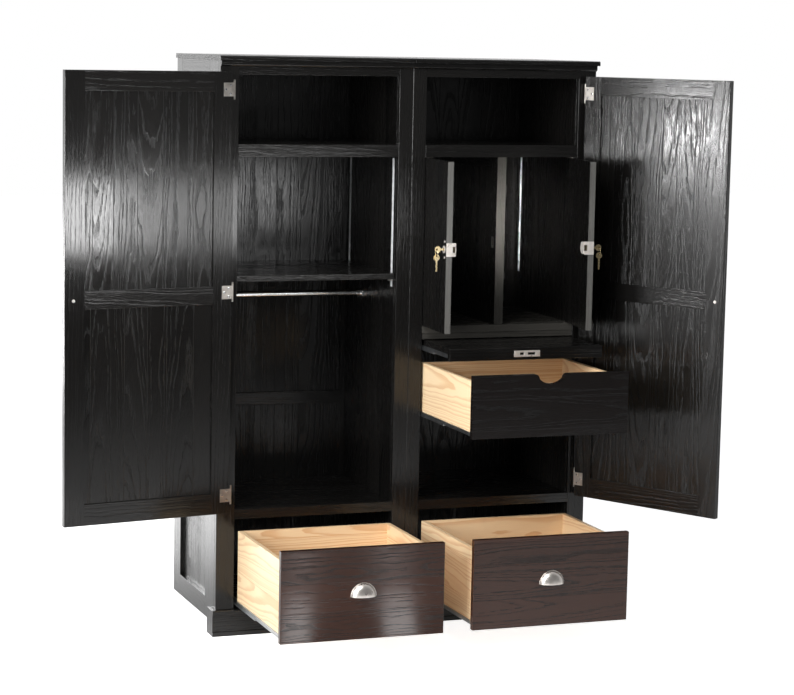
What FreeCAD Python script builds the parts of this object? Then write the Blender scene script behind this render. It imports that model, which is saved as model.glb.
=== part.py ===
import FreeCAD, Part
import math
import os

V = FreeCAD.Vector

# Two-bay armoire, in millimetres. While it is built, Y = 0 is the front of the face frame,
# +Y runs to the back, X = 0 is the seam between the two cabinets and Z = 0 is the floor.
# save() then moves everything so that the origin is the middle of the footprint.

# ---- case ----
CASE_W = 1270.0
CASE_D = 510.0
CASE_H = 1829.0
BOARD = 19.0             # boards, doors and drawer fronts
FRAME_T = 19.0           # face frame thickness
INNER_STILE = 46.0       # face-frame stile beside the seam
OUTER_STILE = 60.0
PLINTH_H = 84.0
DRAWER_OPEN_H = 289.5    # opening of the bottom drawers
MID_RAIL_H = 31.5
HEAD_RAIL_H = 43.0
TOP_T = 15.0
TOP_FRONT_LIP = 20.0
TOP_SIDE_LIP = 5.0
TOP_ROUND = 6.0
CROWN_H = 18.0
CROWN_OUT = 10.0
PLINTH_OUT = 11.5
PLINTH_T = 22.0
PLINTH_BEAD = 4.0
PLINTH_TOP_BEAD_H = 14.0
PLINTH_RETURN = 58.0     # length of the plinth round the corner
SEAM_BEVEL = 1.5         # bevel of the edges that meet at the seam

# ---- sides and back ----
SIDE_T = 22.0
SIDE_FOOT = 38.0         # clear height under the sides
SIDE_FRONT_STILE = 121.0 # measured from the front of the face frame
SIDE_BACK_STILE = 82.0
SIDE_BOTTOM_RAIL = 67.0
SIDE_TOP_RAIL = 80.0
SIDE_RECESS = 13.0
SIDE_PANEL_T = 7.0
GROOVE = 8.0             # how far a panel runs into its frame
BACK_T = 6.0
BACK_SET_IN = 14.0       # rear edge of the side to the back panel
BACK_STRIP_T = 8.0
BACK_STRIP_W = 18.0
BACK_RAIL_Z = 658.0
BACK_RAIL_H = 44.0

# ---- shelves, rod and fittings of the open bays ----
TOP_BAY_H = 215.0        # clear height over the upper shelves
SHELF_EDGE_H = 39.0
ADJ_SHELF_UP = 721.0     # bay floor to the adjustable shelf
ADJ_SHELF_FRONT = 15.0
ADJ_SHELF_GAP = 1.5
STANDARD_W = 16.0
STANDARD_T = 5.0
STANDARD_WALL = 1.2
STANDARD_DROP = 26.0     # below the adjustable shelf
STANDARD_TOP_AIR = 5.0
STANDARD_FRONT_IN = 26.0 # behind the face frame
STANDARD_REAR_IN = 22.0  # before the back strips
CLIP_OUT = 12.0
CLIP_H = 7.0
ROD_R = 10.5
ROD_BACK = 142.0         # before the back strips
ROD_DROP = 76.0          # below the adjustable shelf
SOCKET_R = 25.0
SOCKET_T = 3.0
SOCKET_COLLAR_R = 14.0
SOCKET_COLLAR_L = 14.0
ROD_FIT = 0.1

# ---- levelling feet ----
FOOT_R = 22.0
FOOT_PAD_H = 10.0
FOOT_STEM_R = 6.0
FOOT_IN = 60.0

# ---- doors ----
DOOR_OVERLAY = 12.0
DOOR_TOP_OVERLAY = 9.0
DOOR_BOTTOM_OVERLAY = 6.0
DOOR_STILE = 64.0
DOOR_MID_RAIL = 56.0
DOOR_TOP_RAIL = 62.0
DOOR_BOTTOM_RAIL = 66.0
DOOR_PANEL_T = 7.0
DOOR_AIR = 2.0           # closed door to the face frame
LEFT_DOOR_OPEN = 170.8
RIGHT_DOOR_OPEN = 119.2
KNOB_IN = 28.0           # free edge to the knob
KNOB_R = 14.0
KNOB_L = 24.0
KNOB_HEAD_T = 15.0
KNOB_FOOT_R = 9.0
KNOB_NECK_R = 6.0
KNOB_NECK_L = 14.0
SCREW_R = 2.4
SCREW_FIT = 0.1
SCREW_HEAD_R = 5.0
SCREW_HEAD_T = 2.0

# ---- door hinges ----
HINGE_END_LOW = 58.0     # door's lower end to the lowest hinge
HINGE_END_HIGH = 55.0
HINGE_MID_UP = 8.5       # middle rail to the middle hinge
HINGE_OUT = 6.5          # door edge to the pin
HINGE_PIN_R = 1.5
HINGE_KNUCKLE_R = 4.0
HINGE_RUN = 0.05         # pin to the door knuckle
HINGE_LEAF_T = 1.4
HINGE_PLATE_W = 34.0
HINGE_PLATE_H = 42.0
HINGE_FRAME_H = 66.0
HINGE_FRAME_W = 17.0
HINGE_KNUCKLE_H = 24.0
HINGE_KNUCKLE_AIR = 0.4

# ---- bottom drawers ----
FRONT_GAP = 2.5          # drawer front to its opening, at the sides
FRONT_GAP_Z = 3.0
BOX_SIDE_GAP = 9.0       # drawer box to the cabinet wall
BOX_WALL = 14.0
BOX_BOTTOM_T = 6.0
BOX_BOTTOM_UP = 12.0
BOX_BACK_AIR = 8.0       # drawer box to the back strips
BOX_RAISE = 25.0         # underside of the front to underside of the box
BOX_H = 226.0
LEFT_DRAWER_OUT = 484.0
RIGHT_DRAWER_OUT = 480.0

# ---- cup pull ----
PULL_W = 83.0
PULL_H = 42.5
PULL_D = 25.0
PULL_WALL = 2.5
PULL_Z = 219.5           # flat lower edge
PULL_BOSS_R = 4.5
PULL_BOSS_X = 28.0
PULL_BOSS_Z = 12.0
PULL_BOSS_D = 11.0

# ---- inner drawer ----
INNER_UP = 272.0         # bay floor to the inner drawer's front
INNER_FRONT_H = 195.0
INNER_BOX_RAISE = 18.0
INNER_BOX_H = 158.0
INNER_OUT = 442.0
NOTCH_W = 111.0
NOTCH_D = 31.0
NOTCH_LIP_R = 14.0

# ---- tray ----
TRAY_GAP = 19.0          # inner drawer's front to the tray
TRAY_FRONT_H = 38.0
TRAY_TOP_AIR = 2.0
TRAY_OUT = 242.0
LOCK_PLATE_W = 89.0
LOCK_PLATE_H = 20.0
LOCK_PLATE_T = 2.5
LOCK_PLATE_SLOT_H = 8.0
LOCK_PLATE_SMALL_W = 13.0
LOCK_PLATE_SMALL_X = -18.0
LOCK_PLATE_WIDE_W = 25.0
LOCK_PLATE_WIDE_X = 15.0
LOCK_PLATE_SCREW_IN = 8.0
LOCK_PLATE_HEAD_T = 1.0

# ---- slides: a fixed, a middle and a moving channel, one inside the other ----
SLIDE_H = 16.0
SLIDE_SHEET = 1.4
SLIDE_FIXED_W = 30.0
SLIDE_FLANGE_H = 26.0
SLIDE_FIXED_LIP = 6.0
SLIDE_RUN = 0.8
SLIDE_MID_IN = 3.0
SLIDE_MID_LIP = 6.0
SLIDE_TOP_IN = 5.6
SLIDE_SET_IN = 2.0       # slide ends to the drawer box's ends

# ---- locker ----
LOCKER_EDGE_H = 23.0
LOCKER_RAIL_H = 19.0
LOCKER_RAIL_IN = 2.0
DIVIDER_T = 31.0
DIVIDER_STILE = 66.0
DIVIDER_RAIL = 62.0
DIVIDER_PANEL_T = 10.0
LOCKER_DOOR_AIR = 3.0    # free edge to the divider
LOCKER_HINGE_AIR = 2.0
LOCKER_DOOR_Y = 1.0
LOCKER_DOOR_Z_AIR = 3.0
LOCKER_LEFT_OPEN = 93.0
LOCKER_RIGHT_OPEN = 82.0
PIVOT_R = 3.0
PIVOT_RUN = 0.05
PIVOT_L = 11.0
PIVOT_HOLE_L = 14.0
PIVOT_PLATE_T = 1.5
PIVOT_PLATE_L = 28.0
PIVOT_PLATE_W = 12.0

# ---- locker lock, seen with the door shut ----
LOCK_DOWN = 5.0          # below the middle of the locker
LOCK_CASE_R = 19.0       # round end of the case
LOCK_CASE_W = 36.0
LOCK_CASE_D = 14.0
LOCK_CASE_IN = 2.0       # free edge to the case
LOCK_FACE_T = 1.5
LOCK_FACE_H = 42.0
LOCK_FACE_D = 31.0
CYLINDER_R = 9.0
CYLINDER_FIT = 0.1
CYLINDER_IN = 20.0       # free edge to the cylinder axis
ROSETTE_R = 12.0
ROSETTE_T = 2.0
PLUG_R = 5.5
PLUG_RUN = 0.05
BOLT_T = 8.0
BOLT_H = 18.0
BOLT_RUN = 1.0
BOLT_THROW = 12.0
BOLT_L = 25.0
BOLT_IN = 7.0            # back of the door to the middle of the bolt
BOLT_SET_BACK = 1.0
LOCK_BOLT_R = 3.6        # round heads on the door's face
LOCK_BOLT_UP = 25.0
LOCK_BOLT_IN = 14.0
LOCK_BOLT_T = 2.0
STRIKE_T = 1.5
STRIKE_W = 20.0
STRIKE_H = 36.0
STRIKE_IN = 8.0          # middle of the bolt to the strike's front edge
KEY_T = 2.0
KEY_NECK_L = 9.0
KEY_BOW_R = 10.0
KEY_BOW_HOLE_R = 3.2
KEY_RING_R = 12.0
KEY_RING_WIRE = 0.9
SPARE_KEY_L = 34.0
SPARE_KEY_W = 6.0

# ---- places worked out from the sizes ----
HALF = CASE_W / 2
BAY_X0 = INNER_STILE
BAY_X1 = HALF - OUTER_STILE
BAY_W = BAY_X1 - BAY_X0
BAY_MID = (BAY_X0 + BAY_X1) / 2
RAIL_Z0 = PLINTH_H + DRAWER_OPEN_H
FLOOR_Z = RAIL_Z0 + MID_RAIL_H
TOP_Z = CASE_H - TOP_T
OPEN_TOP = TOP_Z - HEAD_RAIL_H
BOTTOM_Z = PLINTH_H - BOARD
BACK_Y = CASE_D - BACK_SET_IN - BACK_T
STRIP_Y = BACK_Y - BACK_STRIP_T
SHELF_TOP_Z = OPEN_TOP - TOP_BAY_H
SHELF_EDGE_Z = SHELF_TOP_Z - SHELF_EDGE_H
ADJ_SHELF_Z = FLOOR_Z + ADJ_SHELF_UP
STANDARD_Z0 = ADJ_SHELF_Z - STANDARD_DROP
STANDARD_Z1 = SHELF_EDGE_Z - STANDARD_TOP_AIR
STANDARD_YS = (FRAME_T + STANDARD_FRONT_IN, STRIP_Y - STANDARD_REAR_IN)
ROD_Y = STRIP_Y - ROD_BACK
ROD_Z = ADJ_SHELF_Z - ROD_DROP
BOX_LENGTH = STRIP_Y - BOX_BACK_AIR - BOARD
SLIDE_Y0 = BOARD + SLIDE_SET_IN
SLIDE_Y1 = BOARD + BOX_LENGTH - SLIDE_SET_IN
DOOR_Y0 = -DOOR_AIR - BOARD
DOOR_Z0 = FLOOR_Z - DOOR_BOTTOM_OVERLAY
DOOR_Z1 = OPEN_TOP + DOOR_TOP_OVERLAY
DOOR_X0 = BAY_X0 - DOOR_OVERLAY
DOOR_X1 = BAY_X1 + DOOR_OVERLAY
DOOR_MID_Z = (DOOR_Z0 + DOOR_Z1) / 2
HINGE_X = DOOR_X1 + HINGE_OUT
HINGE_Y = DOOR_Y0 + BOARD / 2
HINGE_Z = (DOOR_Z0 + HINGE_END_LOW, DOOR_MID_Z + HINGE_MID_UP, DOOR_Z1 - HINGE_END_HIGH)
INNER_Z0 = FLOOR_Z + INNER_UP
TRAY_Z0 = INNER_Z0 + INNER_FRONT_H + TRAY_GAP
TRAY_Z1 = TRAY_Z0 + TRAY_FRONT_H
LOCKER_FLOOR_Z = TRAY_Z1 + TRAY_TOP_AIR + LOCKER_RAIL_H + LOCKER_EDGE_H
LOCKER_TOP = SHELF_EDGE_Z
DIVIDER_X0 = BAY_MID - DIVIDER_T / 2
LOCKER_DOOR_X0 = BAY_X0 + LOCKER_HINGE_AIR
LOCKER_DOOR_X1 = DIVIDER_X0 - LOCKER_DOOR_AIR
LOCKER_DOOR_BACK = LOCKER_DOOR_Y + BOARD
LOCKER_DOOR_Z0 = LOCKER_FLOOR_Z + LOCKER_DOOR_Z_AIR
LOCKER_DOOR_Z1 = LOCKER_TOP - LOCKER_DOOR_Z_AIR
PIVOT_X = LOCKER_DOOR_X0 + BOARD / 2
PIVOT_Y = LOCKER_DOOR_Y + BOARD / 2
LOCK_Z = (LOCKER_FLOOR_Z + LOCKER_TOP) / 2 - LOCK_DOWN
CYLINDER_X = LOCKER_DOOR_X1 - CYLINDER_IN
BOLT_X1 = LOCKER_DOOR_X1 - LOCK_CASE_IN - BOLT_SET_BACK
BOLT_Y = LOCKER_DOOR_BACK + BOLT_IN
STRIKE_Y = BOLT_Y - STRIKE_IN
SAME = 0.01              # two places this close are one

X_AXIS = V(1, 0, 0)
Y_AXIS = V(0, 1, 0)
Z_AXIS = V(0, 0, 1)


# ---- small makers ----
def block(x0, x1, y0, y1, z0, z1):
    """A box between two corners."""
    low = V(min(x0, x1), min(y0, y1), min(z0, z1))
    return Part.makeBox(abs(x1 - x0), abs(y1 - y0), abs(z1 - z0), low)


def rod(radius, start, direction, length):
    """A round bar from start along direction."""
    return Part.makeCylinder(radius, length, start, direction)


def across(shape, x=0.0):
    """The mirror image across the plane X = x."""
    return shape.mirror(V(x, 0, 0), X_AXIS)


def both(shapes):
    """The right cabinet's pieces and their mirror images in the left cabinet."""
    return list(shapes) + [across(s) for s in shapes]


def turned(shape, x, y, degrees):
    """A copy turned about the upright axis through x, y."""
    copy = shape.copy()
    copy.rotate(V(x, y, 0), Z_AXIS, degrees)
    return copy


def moved(shape, dy):
    """A copy moved along Y."""
    copy = shape.copy()
    copy.translate(V(0, dy, 0))
    return copy


def rounded(shape, radius, test):
    """The shape with the edges that pass the test rounded."""
    return shape.makeFillet(radius, [e for e in shape.Edges if test(e)])


def bevelled(shape, size, test):
    """The shape with the edges that pass the test bevelled."""
    return shape.makeChamfer(size, [e for e in shape.Edges if test(e)])


def runs_x(edge, y, z):
    """Whether the edge runs along X at the given y and z."""
    box = edge.BoundBox
    flat = box.YLength < SAME and box.ZLength < SAME
    return flat and abs(box.YMin - y) < SAME and abs(box.ZMin - z) < SAME


def runs_z(edge, x, y):
    """Whether the edge runs along Z at the given x and y."""
    box = edge.BoundBox
    flat = box.XLength < SAME and box.YLength < SAME
    return flat and abs(box.XMin - x) < SAME and abs(box.YMin - y) < SAME


def save(name, shapes):
    """Writes one node's solids, moved to the part's origin."""
    group = Part.makeCompound(list(shapes))
    group.translate(V(0, -CASE_D / 2, 0))
    group.exportStep("parts/%s.step" % name)


def framed(panel, pieces):
    """Frame pieces with the groove that the panel runs into."""
    return [piece.cut(panel) for piece in pieces]


# ---- case ----
def side_frame():
    """Frame and panel of the right outer side."""
    x0 = HALF - SIDE_T
    front = block(x0, HALF, FRAME_T, SIDE_FRONT_STILE, SIDE_FOOT, TOP_Z)
    back_y = CASE_D - SIDE_BACK_STILE
    back = block(x0, HALF, back_y, CASE_D, SIDE_FOOT, TOP_Z)
    low_z = SIDE_FOOT + SIDE_BOTTOM_RAIL
    high_z = TOP_Z - SIDE_TOP_RAIL
    low = block(x0, HALF, SIDE_FRONT_STILE, back_y, SIDE_FOOT, low_z)
    high = block(x0, HALF, SIDE_FRONT_STILE, back_y, high_z, TOP_Z)
    face = HALF - SIDE_RECESS
    panel = block(face - SIDE_PANEL_T, face, SIDE_FRONT_STILE - GROOVE, back_y + GROOVE,
                  low_z - GROOVE, high_z + GROOVE)
    return framed(panel, (front, back, low, high)), panel


def partition():
    """The board beside the seam, with grooves for the shelf standards."""
    wall = block(BAY_X0 - BOARD, BAY_X0, FRAME_T, BACK_Y, SIDE_FOOT, TOP_Z)
    return wall.cut(Part.makeCompound(standard_grooves(BAY_X0, -1)))


def inner_wall():
    """The board behind the outer stile, with grooves for the shelf standards."""
    wall = block(BAY_X1, BAY_X1 + BOARD, FRAME_T, BACK_Y, SIDE_FOOT, TOP_Z)
    return wall.cut(Part.makeCompound(standard_grooves(BAY_X1, 1)))


def standard_grooves(x, into):
    """The two upright grooves in a wall whose inner face is at x."""
    grooves = []
    for y in STANDARD_YS:
        grooves.append(block(x, x + into * STANDARD_T, y - STANDARD_W / 2, y + STANDARD_W / 2,
                             STANDARD_Z0, STANDARD_Z1))
    return grooves


def standard(x, y, into):
    """A shelf standard: a channel that lies flush in its groove."""
    half = STANDARD_W / 2
    outer = block(x, x + into * STANDARD_T, y - half, y + half, STANDARD_Z0, STANDARD_Z1)
    hollow = block(x + into * STANDARD_WALL, x + into * STANDARD_T, y - half + STANDARD_WALL,
                   y + half - STANDARD_WALL, STANDARD_Z0, STANDARD_Z1)
    return outer.cut(hollow)


def standards():
    """Standards on both walls of the left bay and on the outer wall of the right bay."""
    pieces = []
    for y in STANDARD_YS:
        pieces.append(standard(-BAY_X0, y, 1))
        pieces.append(standard(-BAY_X1, y, -1))
        pieces.append(standard(BAY_X0, y, -1))
        pieces.append(standard(BAY_X1, y, 1))
    return pieces


def face_frame():
    """Stiles and rails of the right cabinet's front."""
    inner = block(0, INNER_STILE, 0, FRAME_T, 0, TOP_Z)
    inner = bevelled(inner, SEAM_BEVEL, lambda e: runs_z(e, 0, 0))
    outer = block(BAY_X1, HALF, 0, FRAME_T, 0, TOP_Z)
    middle = block(BAY_X0, BAY_X1, 0, FRAME_T, RAIL_Z0, FLOOR_Z)
    head = block(BAY_X0, BAY_X1, 0, FRAME_T, OPEN_TOP, TOP_Z)
    foot = block(BAY_X0, BAY_X1, 0, FRAME_T, 0, PLINTH_H)
    return [inner, outer, middle, head, foot]


def top_board():
    """The right cabinet's top, with its rounded front edge."""
    end = HALF + TOP_SIDE_LIP
    board = block(0, end, -TOP_FRONT_LIP, CASE_D, TOP_Z, CASE_H)
    board = rounded(board, TOP_ROUND, lambda e: runs_x(e, -TOP_FRONT_LIP, CASE_H))
    return bevelled(board, SEAM_BEVEL, lambda e: runs_z(e, 0, -TOP_FRONT_LIP))


def crown():
    """The moulding under the top's front lip: a fillet over a hollow."""
    z0 = TOP_Z - CROWN_H
    section = [V(0, 0, z0), V(0, -CROWN_OUT / 2, z0), V(0, -CROWN_OUT, z0 + CROWN_OUT / 2),
               V(0, -CROWN_OUT, TOP_Z), V(0, 0, TOP_Z), V(0, 0, z0)]
    return Part.Face(Part.makePolygon(section)).extrude(V(HALF, 0, 0))


def plinth():
    """The front plinth with a bead at its top and its foot."""
    proud = -PLINTH_OUT
    board = block(0, HALF + PLINTH_OUT, proud, 0, 0, PLINTH_H)
    neck_z = PLINTH_H - PLINTH_TOP_BEAD_H
    groove = block(0, HALF + PLINTH_OUT, proud, proud + PLINTH_BEAD, PLINTH_TOP_BEAD_H, neck_z)
    board = board.cut(groove)
    board = rounded(board, PLINTH_BEAD, lambda e: runs_x(e, proud, PLINTH_H))
    return bevelled(board, SEAM_BEVEL, lambda e: runs_z(e, 0, proud))


def plinth_return():
    """The short piece of plinth round the outer corner."""
    return block(HALF, HALF + PLINTH_OUT, 0, PLINTH_RETURN, 0, PLINTH_H)


def centre_runner():
    """The block under the seam that both cabinets stand on."""
    return block(-BAY_X0, BAY_X0, FRAME_T, BACK_Y, 0, SIDE_FOOT)


def levelling_feet():
    """Screw feet under each cabinet's floor."""
    feet = []
    for x in (BAY_X0 + FOOT_IN, BAY_X1 - FOOT_IN / 2):
        for y in (FRAME_T + FOOT_IN, BACK_Y - FOOT_IN):
            pad = rod(FOOT_R, V(x, y, 0), Z_AXIS, FOOT_PAD_H)
            stem = rod(FOOT_STEM_R, V(x, y, FOOT_PAD_H), Z_AXIS, BOTTOM_Z - FOOT_PAD_H)
            feet.append(pad.fuse(stem))
    return feet


def back_strips(z1):
    """Corner strips up to z1 and the middle rail, on the face of the right back panel."""
    first = block(BAY_X0, BAY_X0 + BACK_STRIP_W, STRIP_Y, BACK_Y, FLOOR_Z, BACK_RAIL_Z)
    rail = block(BAY_X0, BAY_X1, STRIP_Y, BACK_Y, BACK_RAIL_Z, BACK_RAIL_Z + BACK_RAIL_H)
    last = across(first, BAY_MID)
    upper_z = BACK_RAIL_Z + BACK_RAIL_H
    upper = block(BAY_X0, BAY_X0 + BACK_STRIP_W, STRIP_Y, BACK_Y, upper_z, z1)
    return [first, rail, last, upper, across(upper, BAY_MID)]


def case():
    """Every fixed board of the two cabinets."""
    frame, panel = side_frame()
    save("side_frames", both(frame))
    save("side_panels", both([panel]))
    save("partitions", both([partition()]))
    save("inner_walls", both([inner_wall()]))
    save("face_frame", both(face_frame()))
    save("top_boards", both([top_board()]))
    save("crown_mouldings", both([crown()]))
    save("plinths", both([plinth(), plinth_return()]))
    save("centre_runner", [centre_runner()])
    save("levelling_feet", both(levelling_feet()))
    bottom = block(BAY_X0, BAY_X1, FRAME_T, BACK_Y, BOTTOM_Z, PLINTH_H)
    save("cabinet_bottoms", both([bottom]))
    floor = block(BAY_X0, BAY_X1, FRAME_T, BACK_Y, FLOOR_Z - BOARD, FLOOR_Z)
    save("bay_floors", both([floor]))
    shelf = block(BAY_X0, BAY_X1, FRAME_T, BACK_Y, SHELF_TOP_Z - BOARD, SHELF_TOP_Z)
    edge = block(BAY_X0, BAY_X1, 0, FRAME_T, SHELF_EDGE_Z, SHELF_TOP_Z)
    save("upper_shelves", both([shelf, edge]))
    back = block(0, HALF - SIDE_T, BACK_Y, BACK_Y + BACK_T, SIDE_FOOT, TOP_Z)
    save("back_panels", both([back]))
    strips = back_strips(LOCKER_FLOOR_Z - BOARD)
    strips += [across(s) for s in back_strips(SHELF_TOP_Z - BOARD)]
    save("back_strips", strips)


def bay_fittings():
    """Adjustable shelf, its standards and clips, and the wardrobe rod."""
    save("shelf_standards", standards())
    shelf = block(-BAY_X1 + ADJ_SHELF_GAP, -BAY_X0 - ADJ_SHELF_GAP, ADJ_SHELF_FRONT,
                  STRIP_Y - ADJ_SHELF_GAP, ADJ_SHELF_Z, ADJ_SHELF_Z + BOARD)
    save("adjustable_shelf", [shelf])
    clips = []
    for y in STANDARD_YS:
        for x, out in ((-BAY_X0, -1), (-BAY_X1, 1)):
            clips.append(block(x, x + out * CLIP_OUT, y - STANDARD_W / 4, y + STANDARD_W / 4,
                               ADJ_SHELF_Z - CLIP_H, ADJ_SHELF_Z))
    save("shelf_clips", clips)
    bar = rod(ROD_R, V(-BAY_X1 + SOCKET_T, ROD_Y, ROD_Z), X_AXIS, BAY_W - 2 * SOCKET_T)
    save("wardrobe_rod", [bar, rod_socket(-BAY_X1, 1), rod_socket(-BAY_X0, -1)])


def rod_socket(x, out):
    """A wall flange with a collar round the rod's end."""
    direction = V(out, 0, 0)
    flange = rod(SOCKET_R, V(x, ROD_Y, ROD_Z), direction, SOCKET_T)
    start = V(x + out * SOCKET_T, ROD_Y, ROD_Z)
    collar = rod(SOCKET_COLLAR_R, start, direction, SOCKET_COLLAR_L)
    bore = rod(ROD_R + ROD_FIT, start, direction, SOCKET_COLLAR_L)
    return flange.fuse(collar.cut(bore))


# ---- doors ----
def door_timber():
    """Stiles, rails and panels of the right door, shut."""
    y0, y1 = DOOR_Y0, DOOR_Y0 + BOARD
    inner_x0 = DOOR_X0 + DOOR_STILE
    inner_x1 = DOOR_X1 - DOOR_STILE
    stiles = [block(DOOR_X0, inner_x0, y0, y1, DOOR_Z0, DOOR_Z1),
              block(inner_x1, DOOR_X1, y0, y1, DOOR_Z0, DOOR_Z1)]
    low = DOOR_Z0 + DOOR_BOTTOM_RAIL
    high = DOOR_Z1 - DOOR_TOP_RAIL
    mid0 = DOOR_MID_Z - DOOR_MID_RAIL / 2
    mid1 = DOOR_MID_Z + DOOR_MID_RAIL / 2
    rails = [block(inner_x0, inner_x1, y0, y1, z0, z1)
             for z0, z1 in ((DOOR_Z0, low), (mid0, mid1), (high, DOOR_Z1))]
    panel_y = HINGE_Y - DOOR_PANEL_T / 2
    panels = [block(inner_x0 - GROOVE, inner_x1 + GROOVE, panel_y, panel_y + DOOR_PANEL_T,
                    z0 - GROOVE, z1 + GROOVE)
              for z0, z1 in ((low, mid0), (mid1, high))]
    frame = framed(Part.makeCompound(panels + [knob_hole()]), stiles + rails)
    return frame, panels


def knob_hole():
    """The screw hole of the door's knob."""
    return rod(SCREW_R + SCREW_FIT, V(DOOR_X0 + KNOB_IN, DOOR_Y0, DOOR_MID_Z), Y_AXIS, BOARD)


def door_knob():
    """The turned knob on the door's face, and its screw from the inside."""
    x = DOOR_X0 + KNOB_IN
    neck = Part.makeCone(KNOB_FOOT_R, KNOB_NECK_R, KNOB_NECK_L, V(x, DOOR_Y0, DOOR_MID_Z), -Y_AXIS)
    scale = FreeCAD.Matrix()
    scale.scale(V(KNOB_R, KNOB_HEAD_T / 2, KNOB_R))
    head = Part.makeSphere(1.0).transformGeometry(scale)
    head.translate(V(x, DOOR_Y0 - KNOB_L + KNOB_HEAD_T / 2, DOOR_MID_Z))
    shank = rod(SCREW_R, V(x, DOOR_Y0, DOOR_MID_Z), Y_AXIS, BOARD)
    inside = DOOR_Y0 + BOARD
    screw_head = rod(SCREW_HEAD_R, V(x, inside, DOOR_MID_Z), Y_AXIS, SCREW_HEAD_T)
    return [neck.fuse(head), shank.fuse(screw_head)]


def hinge_knuckle(z0, z1, bore):
    """A length of hinge knuckle on the door's pin axis."""
    tube = rod(HINGE_KNUCKLE_R, V(HINGE_X, HINGE_Y, z0), Z_AXIS, z1 - z0)
    if bore:
        hole = rod(HINGE_PIN_R + HINGE_RUN, V(HINGE_X, HINGE_Y, z0), Z_AXIS, z1 - z0)
        tube = tube.cut(hole)
    return tube


def door_leaf(z):
    """The hinge leaf that wraps the door's edge and lies on its inner face."""
    back = DOOR_Y0 + BOARD
    half = HINGE_PLATE_H / 2
    plate = block(DOOR_X1 - HINGE_PLATE_W, DOOR_X1, back, back + HINGE_LEAF_T, z - half, z + half)
    edge_x = DOOR_X1 + HINGE_LEAF_T
    edge_y = HINGE_Y - HINGE_KNUCKLE_R
    edge = block(DOOR_X1, edge_x, edge_y, back + HINGE_LEAF_T, z - half, z + half)
    reach = HINGE_KNUCKLE_H / 2
    web = block(DOOR_X1, HINGE_X, edge_y, edge_y + HINGE_LEAF_T, z - reach, z + reach)
    hole = rod(HINGE_PIN_R + HINGE_RUN, V(HINGE_X, HINGE_Y, z - reach), Z_AXIS, 2 * reach)
    leaf = plate.fuse([edge, web, hinge_knuckle(z - reach, z + reach, False)])
    return leaf.cut(hole).removeSplitter()


def frame_leaf(z):
    """The hinge leaf on the face frame, with the pin and its two knuckles."""
    half = HINGE_FRAME_H / 2
    x1 = HINGE_X + HINGE_KNUCKLE_R
    plate = block(x1 - HINGE_LEAF_T, x1 + HINGE_FRAME_W, -HINGE_LEAF_T, 0, z - half, z + half)
    parts = []
    reach = HINGE_KNUCKLE_H / 2 + HINGE_KNUCKLE_AIR
    for way in (-1, 1):
        near = z + way * reach
        far = z + way * (reach + HINGE_KNUCKLE_H * 0.75)
        z0, z1 = min(near, far), max(near, far)
        parts.append(hinge_knuckle(z0, z1, False))
        parts.append(block(x1 - HINGE_LEAF_T, x1, HINGE_Y, 0, z0, z1))
    length = 2 * (reach + HINGE_KNUCKLE_H * 0.75)
    pin = rod(HINGE_PIN_R, V(HINGE_X, HINGE_Y, z - length / 2), Z_AXIS, length)
    return plate.fuse(parts + [pin]).removeSplitter()


def doors():
    """Both doors, opened, and the hinge leaves on the face frame."""
    frame, panels = door_timber()
    leaves = [door_leaf(z) for z in HINGE_Z]
    sets = (("frame", frame), ("panels", panels), ("knob", door_knob()), ("hinge_leaves", leaves))
    for name, shapes in sets:
        right = [turned(s, HINGE_X, HINGE_Y, RIGHT_DOOR_OPEN) for s in shapes]
        left = [turned(across(s), -HINGE_X, HINGE_Y, -LEFT_DOOR_OPEN) for s in shapes]
        save("right_door_" + name, right)
        save("left_door_" + name, left)
    save("frame_hinge_leaves", both([frame_leaf(z) for z in HINGE_Z]))


# ---- slides ----
def slide_member(x, z, into, first, last, low, lip):
    """A channel: a flat strip with two upright lips. x is the wall, into points from it."""
    y0, y1 = SLIDE_Y0, SLIDE_Y1
    a, b = x + into * first, x + into * last
    strip = block(a, b, y0, y1, z + low, z + low + SLIDE_SHEET)
    z0, z1 = z + min(low, lip), z + max(low + SLIDE_SHEET, lip)
    sides = [block(a, a + into * SLIDE_SHEET, y0, y1, z0, z1),
             block(b - into * SLIDE_SHEET, b, y0, y1, z0, z1)]
    return strip.fuse(sides).removeSplitter()


def fixed_slide(x, z, into):
    """The member screwed to the cabinet wall."""
    channel = slide_member(x, z, into, 0, SLIDE_FIXED_W, 0, SLIDE_FIXED_LIP)
    flange = block(x, x + into * SLIDE_SHEET, SLIDE_Y0, SLIDE_Y1, z, z + SLIDE_FLANGE_H)
    return channel.fuse(flange).removeSplitter()


def middle_slide(x, z, into):
    """The member that travels half as far as the drawer."""
    low = SLIDE_SHEET + SLIDE_RUN
    return slide_member(x, z, into, SLIDE_MID_IN, SLIDE_FIXED_W - SLIDE_MID_IN, low,
                        low + SLIDE_MID_LIP)


def moving_slide(x, z, into):
    """The member under the drawer, its lips down inside the middle one."""
    low = 2 * (SLIDE_SHEET + SLIDE_RUN)
    return slide_member(x, z, into, SLIDE_TOP_IN, SLIDE_FIXED_W - SLIDE_TOP_IN,
                        SLIDE_H - SLIDE_SHEET, low)


def slides(x0, x1, z):
    """The three pairs of members in an opening from x0 to x1, under a box that starts at z."""
    foot = z - SLIDE_H
    pairs = []
    for make in (fixed_slide, middle_slide, moving_slide):
        pairs.append([make(x0, foot, 1), make(x1, foot, -1)])
    return pairs


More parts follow.
